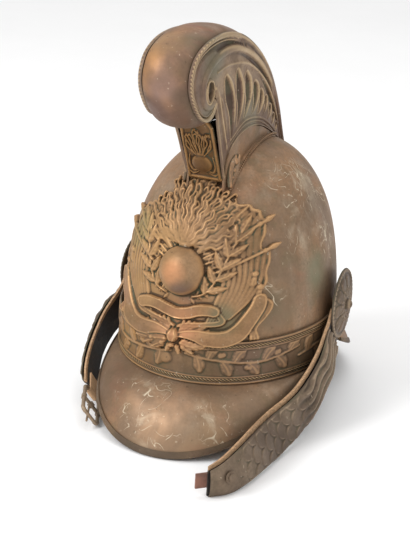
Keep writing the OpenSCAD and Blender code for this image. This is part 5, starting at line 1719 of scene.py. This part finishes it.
def mask_relief(half, high):
    """The panel's ornament in its own plane: an arched rim, a small grenade and leaves."""
    step = 0.4
    x, v = np.meshgrid(np.arange(-half - 1, half + 1.1, step), np.arange(-1, high + 1.1, step))
    relief = Relief(x, v, SHEET)
    shoulder, inset = high - half, half - 1.5

    def arch(radius, turns):
        return [[radius * math.cos(w), shoulder + radius * math.sin(w)] for w in turns]

    relief.patch([[-half, 0], [half, 0], *arch(half, np.linspace(0, math.pi, 24))], SHEET)
    left = [[-inset, 3], [-inset, 20], [-inset, shoulder]]
    right = [[inset, up] for _, up in reversed(left)]
    rim = left + arch(inset, np.linspace(math.pi, 0, 12)[1:-1]) + right
    relief.band(rim, [1.6, 1.6], SHEET - 0.2, 1.7, "round", 90)
    small_flames(relief, half, 27)
    relief.dome((5.5, 47), 3.0, SHEET + 0.4, 2.0)
    relief.dome((-4, 41), 2.2, SHEET + 0.4, 1.8)
    relief.dome((0, 19), 9.8, SHEET * 0.6, 6.2)
    relief.dome((0, 29), 3.0, SHEET + 1.2, 1.4, 2.0, (1.2, 0.7))
    for side in (-1, 1):
        tall = [[side * 3, 13], [side * 9, 10], [side * 12, 17], [side * 10.5, 27]]
        relief.band(tall, [0.6, 1.6, 1.5, 0.4], SHEET, 1.6, "leaf", 12)
        low = [[side * 5, 9], [side * 10, 6.5], [side * 13, 9]]
        relief.band(low, [0.6, 1.3, 0.5], SHEET, 1.4, "leaf", 8)
    relief.band([[-half + 0.8, 3], [half - 0.8, 3]], [1.5, 1.5], SHEET, 1.5, "round", 4)
    relief.height = blur(relief.height, 1)
    return relief


class HELMET_OT_comb_mask(bpy.types.Operator):
    """Presses the panel with a small grenade under the volute"""

    bl_idname = "helmet.comb_mask"
    bl_label = "Panel under the volute"

    def execute(self, context):
        half = float(widen(np.array([ARCH_LINE[0]], float))[0, 2]) - SHEET - SEAT
        high = float(np.linalg.norm(MASK_HEAD - MASK_FOOT))
        up = (MASK_HEAD - MASK_FOOT) / high
        relief = mask_relief(half, high)

        def place(px, pv, height):
            back = MASK_FOOT[0] + up[0] * pv - up[1] * height
            return threes(px, back, MASK_FOOT[1] + up[1] * pv + up[0] * height)

        points, faces, wear_and_shading = pressed_sheet(relief, place, np.zeros_like(relief.x), 0.5)
        # Stronger dark and light over the panel's relief: crust and painted shade in the hollows,
        # polish and painted highlight on the crests
        wear_and_shading = np.clip(wear_and_shading * 1.7, -1, 1)
        piece = solid(
            "volute_panel", "helmet", points, faces, "mask_brass", wear_and_shading, sharp=70
        )
        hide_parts("comb_mask")
        return {"FINISHED"}


# The lower edge of the strip where the comb meets the skull, on the wearer's left
FOOT_EDGE = [
    [22, -55.4, 160.5], [22.3, -49.3, 165.5], [22.6, -40.6, 171.4], [22.7, -30.2, 177],
    [22.6, -18.7, 181.4], [22.4, -6.9, 184.3], [22.1, 4.6, 185.9], [21.8, 15.6, 186.4],
    [21.2, 27.1, 185.9], [20.5, 38.9, 184.3], [19.7, 49.4, 181.5],
]


class HELMET_OT_comb_feet(bpy.types.Operator):
    """Beads the comb's feet and lays a leaf with a curl over their front ends"""

    bl_idname = "helmet.comb_feet"
    bl_label = "Comb feet"

    def execute(self, context):
        tree = stitch_tree()
        bead = 0.001
        for name, side in (("left", 1), ("right", -1)):
            line = along(FOOT_EDGE, np.linspace(0, 1, 90)) + [0.1, 0, 1.5]
            grow(
                f"foot_beads_{name}", "helmet", line * [side, 1, 1], tree, "dome_brass",
                {"Length": bead, "Radius": bead, "Pitch": 2.4 * bead}, ring=False,
            )
            self.leaf(f"foot_leaf_{name}", side)
        return {"FINISHED"}

    def leaf(self, name, side):
        """A pressed leaf: dark hollow blade, raised rim and a rolled curl at its root."""
        step = 0.45
        y, z = np.meshgrid(np.arange(-60, -24, step), np.arange(158, 204, step))
        relief = Relief(y, z, 0.0)
        upper = [[-56, 165], [-52.5, 174], [-48, 182], [-41, 188]]
        lower = [[-55, 164], [-48, 170], [-41, 177], [-35, 187]]
        relief.band(upper, [1.2, 3.4, 3.4, 1.0], 0.6, 1.5, "leaf", 16)
        relief.band(lower, [1.2, 3.8, 4.0, 1.0], 0.5, 1.3, "leaf", 16)
        relief.dome((-43, 184), 3.2, 1.0, 2.4)
        relief.dome((-48, 177.5), 2.1, 1.0, 1.9)
        relief.dome((-51.5, 172), 1.7, 0.8, 1.7)
        relief.height = blur(relief.height, 1)

        def place(py, pz, height):
            edge = along(FOOT_EDGE, np.clip((py.ravel() + 58) / 120, 0, 1)).reshape(*py.shape, 3)
            lean = 0.16 * np.maximum(pz - edge[..., 2], 0)
            return threes(side * (edge[..., 0] + 0.1 - lean + height), py, pz)

        points, faces, wear_and_shading = pressed_sheet(relief, place, np.full_like(y, -1.2), 0.5)
        # Darker overall, with stronger dark and light over the relief: crust and painted shade, polish
        # and painted highlight
        wear_and_shading = wear_and_shading * 1.6 - 0.15
        solid(name, "helmet", points, faces, "dome_brass", wear_and_shading, sharp=70)


# The rosettes and the straps
def rosette_height(x, y, petals):
    """Height of a rosette over its back, from the middle to the beaded rim."""
    r = np.hypot(x, y)
    w = np.arctan2(y, x)
    edge = ROSETTE_RADIUS
    dish = np.interp(
        r / edge, [0, 0.25, 0.45, 0.72, 0.86, 0.91, 0.97, 1], [6, 6, 5.2, 3.5, 2.2, 2.4, 2.4, 1.2]
    )
    for inner, outer, lift, turn in ((0.34, 0.84, 2.2, 0.0), (0.2, 0.56, 1.9, math.pi / petals)):
        phase = (w + turn) * petals / (2 * math.pi)
        part = (phase - np.floor(phase)) * 2 - 1
        u = np.clip((r / edge - inner) / (outer - inner), 0, 1)
        width = 0.95 * np.sin(np.pi * np.clip(0.2 + 0.68 * u, 0, 1)) ** 0.5
        d = np.abs(part) / np.maximum(width, 0.05)
        rim = np.clip(u / 0.12, 0, 1) * np.clip((1 - u) / 0.16, 0, 1) ** 0.5
        petal = lift * rim * np.sqrt(np.clip(1 - d**2, 0, 1)) * (0.72 + 0.28 * np.abs(d))
        dish = np.maximum(dish, dish * 0.86 + petal)
    beads = 44
    phase = (w * beads / (2 * math.pi)) % 1 * 2 - 1
    ring = np.clip(1 - ((r / edge - 0.935) / 0.045) ** 2, 0, 1)
    dish += 0.55 * np.sqrt(ring * np.clip(1 - phase**2, 0, 1))
    knob = np.clip(1 - (r / ROSETTE_KNOB) ** 2, 0, 1)
    return np.maximum(dish, np.where(r < ROSETTE_KNOB, 7.0 + 4.0 * np.sqrt(knob), 0))


class HELMET_OT_rosettes(bpy.types.Operator):
    """Presses the two rosettes over the straps' studs"""

    bl_idname = "helmet.rosettes"
    bl_label = "Rosettes"

    def execute(self, context):
        petals = context.scene.helmet_sizes.petals
        rows, cols = 84, 264
        radius = ROSETTE_RADIUS * np.linspace(1, 0.012, rows)
        turn = 2 * math.pi * np.arange(cols) / cols
        w, r = np.meshgrid(turn, radius)
        x, y = r * np.cos(w), r * np.sin(w)
        height = rosette_height(x, y, petals)
        # Dark in the hollows and bright on the petals' crests: crust and painted shade, polish and
        # painted highlight
        worn = 0.6 * wear_and_shading_of(height, 8, 1.4, wrap=True) + 0.8 * wear_and_shading_of(height, 3, 2.4, wrap=True)
        under = np.where(r > 10, 1.4, 0.0)
        under = np.where(r > ROSETTE_RADIUS - 4, 0.3, under)
        under = np.where(r > ROSETTE_RADIUS - 0.6, 0.8, under)
        under = np.where(r < 3.4, 4.2, under)
        for side, name, node in (
            (1, "rosette_petals_left", "left_rosette"),
            (-1, "rosette_petals_right", "right_rosette"),
        ):
            outer = from_pivot(threes(ROSETTE_IN + height, y, -x), side)
            inner = from_pivot(threes(ROSETTE_IN + under, y, -x), side)
            tips = np.array([[ROSETTE_IN + 11.0, 0, 0], [ROSETTE_IN + 4.2, 0, 0]])
            points, faces = shell(outer, inner, ring=True, pole=from_pivot(tips, side))
            wear_and_shading = np.clip(1.8 * worn - 0.15, -1, 1).ravel()
            wear_and_shading = np.concatenate([wear_and_shading, np.full(wear_and_shading.size, -0.4), [0.3, -0.4]])
            piece = solid(name, "helmet", points, faces, "scale_brass", wear_and_shading, sharp=70)
            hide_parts(node)
        return {"FINISHED"}


def scale_pattern(share, across, first, last, rows):
    """Height from 0 to 1 of overlapping round-ended scales, two and three to a row."""
    pitch = (last - first) / rows
    place = (share - first) / pitch
    best = np.zeros_like(place)
    base = np.floor(place)
    for back in (-1, 0, 1):
        row = base + back
        odd = np.mod(row, 2)
        lane = across * 1.15 + 0.5 * odd
        part = (lane - np.floor(lane)) * 2 - 1
        round_end = 0.85 * np.sqrt(np.clip(1 - part * part, 0, 1))
        edge = row + 0.35 + round_end
        inside = np.clip((edge - place) / 0.14, 0, 1)
        rise = np.clip(1 - (edge - place) / 1.9, 0, 1)
        best = np.maximum(best, np.where(place < edge, rise * inside**0.5, 0))
    return best


def strap_leather(name, side, form, body, node):
    """The leather of a strap, bare along the edge that no scale covers."""
    across = np.array([-1, -0.96, -0.9, -0.5, 0, 0.6, 0.74, 0.8, 0.9, 0.96, 1.0])
    s, w = np.meshgrid(np.linspace(0, 1, 300), across)
    wave = 0.12 * np.sin(s * 60 + w * 4)
    top = from_pivot(strap_at(form, s, w, LEATHER + np.minimum(wave, 0) - 0.02), side)
    low = from_pivot(strap_at(form, s, w, 0.02 + np.maximum(wave, 0)), side)
    points, faces = shell(top, low)
    edge = np.where(w > 0.78, 1.0, 0.0).ravel()
    piece = solid(
        name, body, points, faces, "strap_leather", sharp=50,
        marks={"edge": np.concatenate([edge, edge])},
    )
    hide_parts(node)


def strap_scales(name, side, form, body, node, spec, relief_step):
    """The brass scales on a strap. spec gives both their ends, their rows and their bow."""
    first, last, rows, lift = spec
    across = np.linspace(SCALE_LOW, SCALE_HIGH, 61)
    s, w = np.meshgrid(np.linspace(first, last, 460), across)
    bow = lift * np.maximum(1 - w * w, 0) ** 0.6 * ease((s - first) / 0.16)
    pattern = scale_pattern(s, w, first, last, rows)
    ribs = 0.5 + 0.5 * np.cos(w * 13 + 14 * s + 1.6 * np.sin(s * 40))
    near_top = 1 - ease((s - first - 0.26) / 0.14)
    plain_tip = 1 - ease((s - last + 0.16) / 0.08) if last > 0.95 else 1.0
    fading = mix(1.0, 0.75, ease((s - 0.45) / 0.3))
    height = mix(pattern, 0.25 * pattern + 1.25 * ribs, near_top) * plain_tip * fading
    ends = np.clip((w - SCALE_LOW) / SCALE_EDGE, 0, 1)
    ends *= np.clip((SCALE_HIGH - w) / SCALE_EDGE, 0, 1)
    height = blur(height * relief_step, 1) * ends
    off = LEATHER + 0.4 + bow
    outer = from_pivot(strap_at(form, s, w, off + SCALE_SHEET * 0.6 + height), side)
    inner = from_pivot(strap_at(form, s, w, off), side)
    points, faces = shell(outer, inner)
    # Strong dark and light over the scales: painted shade below each scale's edge and painted highlight
    # on its crest, with crust and polish
    wear_and_shading = np.clip(3.2 * wear_and_shading_of(height / relief_step, 5, 1.8) - 0.15, -1, 1)
    wear_and_shading = both_faces(wear_and_shading, -0.6)
    piece = solid(name, body, points, faces, "scale_brass", wear_and_shading, sharp=70)
    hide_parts(node)


class HELMET_OT_straps(bpy.types.Operator):
    """Cuts the chin straps' leather and lays the brass scales on it"""

    bl_idname = "helmet.straps"
    bl_label = "Chin straps"

    def execute(self, context):
        step = context.scene.helmet_sizes.scale_relief / MM
        strap_leather("long_leather", 1, LONG_STRAP, "left_strap", "left_strap_leather")
        strap_scales(
            "long_scales", 1, LONG_STRAP, "left_strap", "left_strap_scales",
            (0.084, 0.995, SCALE_ROWS, SCALE_BOW), step,
        )
        strap_leather("short_leather", -1, SHORT_STRAP, "right_strap", "right_strap_leather")
        strap_scales(
            "short_scales", -1, SHORT_STRAP, "right_strap", "right_strap_scales",
            (0.15, 0.9, SHORT_SCALE_ROWS, 1.5 * SCALE_BOW), step,
        )
        return {"FINISHED"}


# The liner
class HELMET_OT_liner(bpy.types.Operator):
    """Sews the sweatband and laces the tongues together under the crown"""

    bl_idname = "helmet.liner"
    bl_label = "Liner"

    def execute(self, context):
        sizes = context.scene.helmet_sizes
        cols, rows = 180, 16
        angle = 360 * np.arange(cols) / cols
        k = np.linspace(0, 3, rows)
        a, kk = np.meshgrid(angle, k)
        wave = 0.25 * np.sin(np.radians(a) * 9 + kk) * kk / 3
        outer = sweatband_at(a, kk, HAIR + np.maximum(wave, 0))
        inner = sweatband_at(a, kk, SWEATBAND_SHEET - HAIR + np.minimum(wave, 0))
        points, faces = shell(outer, inner, ring=True)
        rim = np.where((kk < 0.12) | (kk > 2.88), 1.0, 0.0).ravel()
        piece = solid(
            "sewn_sweatband", "helmet", points, faces, "liner_leather",
            marks={"edge": np.concatenate([rim, rim])},
        )
        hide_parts("sweatband")
        tree = stitch_tree()
        for name, level in (("lower_stitches", 0.22), ("upper_stitches", 2.78)):
            turn = 360 * np.arange(STITCH_POINTS) / STITCH_POINTS
            ring = sweatband_at(turn, level, SWEATBAND_SHEET + HAIR)
            grow(
                name, "helmet", ring, tree, "lace_cord",
                {"Length": STITCH_LENGTH, "Radius": STITCH_RADIUS, "Pitch": sizes.stitch_pitch},
            )
        self.tongues()
        ring = 2 * math.pi * np.arange(LACE_POINTS) / LACE_POINTS
        lace = threes(LACE_RING * np.cos(ring), LACE_BACK + LACE_RING * np.sin(ring), LACE_HEIGHT)
        piece = grow(
            "crown_lace", "helmet", lace, rope_tree(), "lace_cord",
            {"Radius": (LACE_RADIUS - 0.02) * MM, "Turns": LACE_TWIST, "Count": LACE_STEPS},
        )
        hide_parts("liner_lace")
        return {"FINISHED"}

    def tongues(self):
        """Eight tongues that rise from the sweatband to hems round the lace."""
        shells, marks = [], []
        for n in range(TONGUES):
            mid = 360 * (n + 0.5) / TONGUES
            blade, rim = self.blade(mid)
            hem = self.hem(mid)
            shells += [blade, hem]
            marks += [rim, rim, np.zeros(len(hem[0]))]
        points, faces = joined(shells)
        piece = solid(
            "crown_tongues", "helmet", points, faces, "liner_leather",
            marks={"edge": np.concatenate(marks)},
        )
        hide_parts("liner_tongues")

    def blade(self, mid):
        """A tongue round a middle angle, and its cut edges as marks for one face."""
        v, w = np.meshgrid(np.linspace(0, 1, 28), np.linspace(-1, 1, 13), indexing="ij")
        spread = math.degrees(math.atan(TONGUE_HALF / TONGUE_ROOM))
        tip_spread = math.degrees(math.atan(HEM_HALF * 0.8 / LACE_RING))
        a = mid + w * mix(spread, tip_spread, np.sqrt(v))
        foot = sweatband_at(a, 2.6, SWEATBAND_SHEET + 1.1)
        ring = LACE_RING + HEM_MIDDLE
        turn = np.radians(a)
        tip = threes(
            ring * np.sin(turn), LACE_BACK - ring * np.cos(turn), LACE_HEIGHT + TONGUE_SHEET / 2
        )
        bend = mix(foot, tip, 0.3) + [0, 0, TONGUE_BOW]
        share = v[..., None]
        p = (1 - share) ** 2 * foot + 2 * share * (1 - share) * bend + share**2 * tip
        inward = unit(threes(-np.sin(turn) * (1 - v), np.cos(turn) * (1 - v), -v))
        crease = 0.1 + 0.12 * np.sin(v * 17 + w * 3)
        blade = shell(p + crease[..., None] * inward, p + (TONGUE_SHEET - HAIR) * inward)
        return blade, (np.abs(w) > 0.95).astype(float).ravel()

    def hem(self, mid):
        """A sleeve of leather round the lace at a tongue's tip."""
        half_turn = math.degrees(math.atan(HEM_HALF / LACE_RING))
        lengthwise = np.linspace(-half_turn, half_turn, 11)
        w, q = np.meshgrid(lengthwise, np.arange(24) / 24 * 2 * math.pi, indexing="ij")
        turn = np.radians(mid - 90 + w)

        def tube(radius):
            r = LACE_RING + radius * np.cos(q)
            up = LACE_HEIGHT + radius * np.sin(q)
            return threes(r * np.cos(turn), LACE_BACK + r * np.sin(turn), up)

        half_sheet = TONGUE_SHEET / 2
        return shell(
            tube(HEM_MIDDLE + half_sheet - HAIR), tube(HEM_MIDDLE - half_sheet + HAIR), ring=True
        )


class HELMET_OT_fittings(bpy.types.Operator):
    """Gives the small fittings their finish"""

    bl_idname = "helmet.fittings"
    bl_label = "Fittings"

    def execute(self, context):
        finishes = {
            "plain_brass": (
                "comb_anchors", "comb_studs", "comb_nuts", "plate_studs", "plate_nuts",
                "left_rosette_stud", "right_rosette_stud", "rosette_nuts",
                "left_strap_hanger", "right_strap_hanger",
            ),
            "scale_brass": ("left_strap_rivets", "right_strap_rivets"),
            "buckle_brass": ("buckle_frame", "buckle_prong"),
            "dome_brass": ("comb_left_foot", "comb_right_foot"),
            "tab_leather": ("left_strap_tab",),
            "loop_leather": ("right_strap_loop",),
        }
        for finish, nodes in finishes.items():
            for name in nodes:
                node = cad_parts[name]
                node.data.materials.clear()
                node.data.materials.append(material(finish))
        return {"FINISHED"}


# The stage: the camera in millimetres and degrees, the floor and the lights in metres
CAMERA_TARGET = (-25.19, 0.0, 55.66)
CAMERA_AZIMUTH, CAMERA_ELEVATION, CAMERA_ROLL = 24.192, 22.009, 1.211
CAMERA_DISTANCE, CAMERA_SCALE = 1689.1, 1.093
PHOTO_HEIGHT, SENSOR_WIDTH = 547, 36
FLOOR_HALF, FLOOR_DROP = 60, 0.0002
SKY_STRENGTH = 0.74
LIGHTS_AIM = (0, 0, 0.1)
# Place in metres, size in metres and power in watts
LIGHTS = {
    "key": ((-0.9, -1.3, 1.3), 0.8, 22),
    "fill": ((1.5, -0.9, 0.9), 1.4, 7),
    "top": ((0.1, 0.4, 1.8), 1.3, 10),
}


class HELMET_OT_stage(bpy.types.Operator):
    """Sets up the pale floor, the soft light and the camera"""

    bl_idname = "helmet.stage"
    bl_label = "Stage"

    def execute(self, context):
        self.floor(context)
        self.lights(context)
        self.camera(context)
        return {"FINISHED"}

    def floor(self, context):
        """A wide pale floor just under the straps."""
        low = CAD_BOX[0][2] - FLOOR_DROP
        corners = [(-1, -1), (1, -1), (1, 1), (-1, 1)]
        mesh = bpy.data.meshes.new("floor")
        mesh.from_pydata(
            [(x * FLOOR_HALF, y * FLOOR_HALF, low) for x, y in corners], [], [(0, 1, 2, 3)]
        )
        floor = bpy.data.objects.new("floor", mesh)
        context.scene.collection.objects.link(floor)
        f = Finish("pale_floor")
        pale = f.blend(f.noise(9, 3), (0.9, 0.9, 0.9), (0.94, 0.94, 0.94))
        mesh.materials.append(f.finished({"Base Color": pale, "Roughness": 0.9}))

    def lights(self, context):
        """A white sky and three soft lamps."""
        world = bpy.data.worlds.new("studio")
        context.scene.world = world
        world.use_nodes = True
        sky = world.node_tree.nodes["Background"].inputs
        sky["Color"].default_value = (1, 1, 1, 1)
        sky["Strength"].default_value = SKY_STRENGTH
        for name, (place, size, power) in LIGHTS.items():
            light = bpy.data.lights.new(name, "AREA")
            light.energy = power
            light.size = size
            lamp = bpy.data.objects.new(name, light)
            lamp.location = place
            aim = Vector(LIGHTS_AIM) - Vector(place)
            lamp.rotation_euler = aim.to_track_quat("-Z", "Y").to_euler()
            context.scene.collection.objects.link(lamp)
        context.scene.view_settings.view_transform = "Standard"

    def camera(self, context):
        """The camera, fitted once so that its picture lies over the photograph."""
        az, el = math.radians(CAMERA_AZIMUTH), math.radians(CAMERA_ELEVATION)
        roll = math.radians(CAMERA_ROLL)
        back = Vector(
            (math.sin(az) * math.cos(el), -math.cos(az) * math.cos(el), math.sin(el))
        )
        right = Vector((math.cos(az), math.sin(az), 0))
        up = back.cross(right)
        turned_right = right * math.cos(roll) + up * math.sin(roll)
        turned_up = up * math.cos(roll) - right * math.sin(roll)
        data = bpy.data.cameras.new("photo_camera")
        data.sensor_width = SENSOR_WIDTH
        focal_pixels = CAMERA_SCALE * CAMERA_DISTANCE
        data.lens = focal_pixels / PHOTO_HEIGHT * SENSOR_WIDTH
        camera = bpy.data.objects.new("photo_camera", data)
        target = Vector(CAMERA_TARGET) * MM
        axes = Matrix((turned_right, turned_up, back)).transposed().to_4x4()
        camera.matrix_world = Matrix.Translation(target + back * CAMERA_DISTANCE * MM) @ axes
        data.clip_start, data.clip_end = 0.05, 50
        context.scene.collection.objects.link(camera)
        context.scene.camera = camera


class HELMET_PT_panel(bpy.types.Panel):
    """Lists the helmet's pieces, sizes and colours"""

    bl_idname = "HELMET_PT_panel"
    bl_label = "Brass Fire Helmet"
    bl_space_type = "VIEW_3D"
    bl_region_type = "UI"
    bl_category = "Helmet"

    def draw(self, context):
        layout = self.layout
        for group in (context.scene.helmet_sizes, context.scene.helmet_finish):
            box = layout.box()
            for name in group.__annotations__:
                box.prop(group, name)
        for operator in OPERATORS:
            layout.operator(operator.bl_idname)


OPERATORS = (
    HELMET_OT_stage,
    HELMET_OT_skull,
    HELMET_OT_brims,
    HELMET_OT_headband,
    HELMET_OT_front_plate,
    HELMET_OT_comb_sides,
    HELMET_OT_comb_crest,
    HELMET_OT_comb_mask,
    HELMET_OT_comb_feet,
    HELMET_OT_rosettes,
    HELMET_OT_straps,
    HELMET_OT_liner,
    HELMET_OT_fittings,
)
CLASSES = (HelmetSizes, HelmetFinish, *OPERATORS, HELMET_PT_panel)


def register():
    """Registers the classes and hangs their settings on the scene."""
    for cls in CLASSES:
        bpy.utils.register_class(cls)
    bpy.types.Scene.helmet_sizes = PointerProperty(type=HelmetSizes)
    bpy.types.Scene.helmet_finish = PointerProperty(type=HelmetFinish)


def unregister():
    """Takes the settings and the classes away again."""
    del bpy.types.Scene.helmet_finish
    del bpy.types.Scene.helmet_sizes
    for cls in reversed(CLASSES):
        bpy.utils.unregister_class(cls)


def main():
    register()
    for operator in OPERATORS:
        group, name = operator.bl_idname.split(".")
        getattr(getattr(bpy.ops, group), name)()


if __name__ == "__main__":
    main()
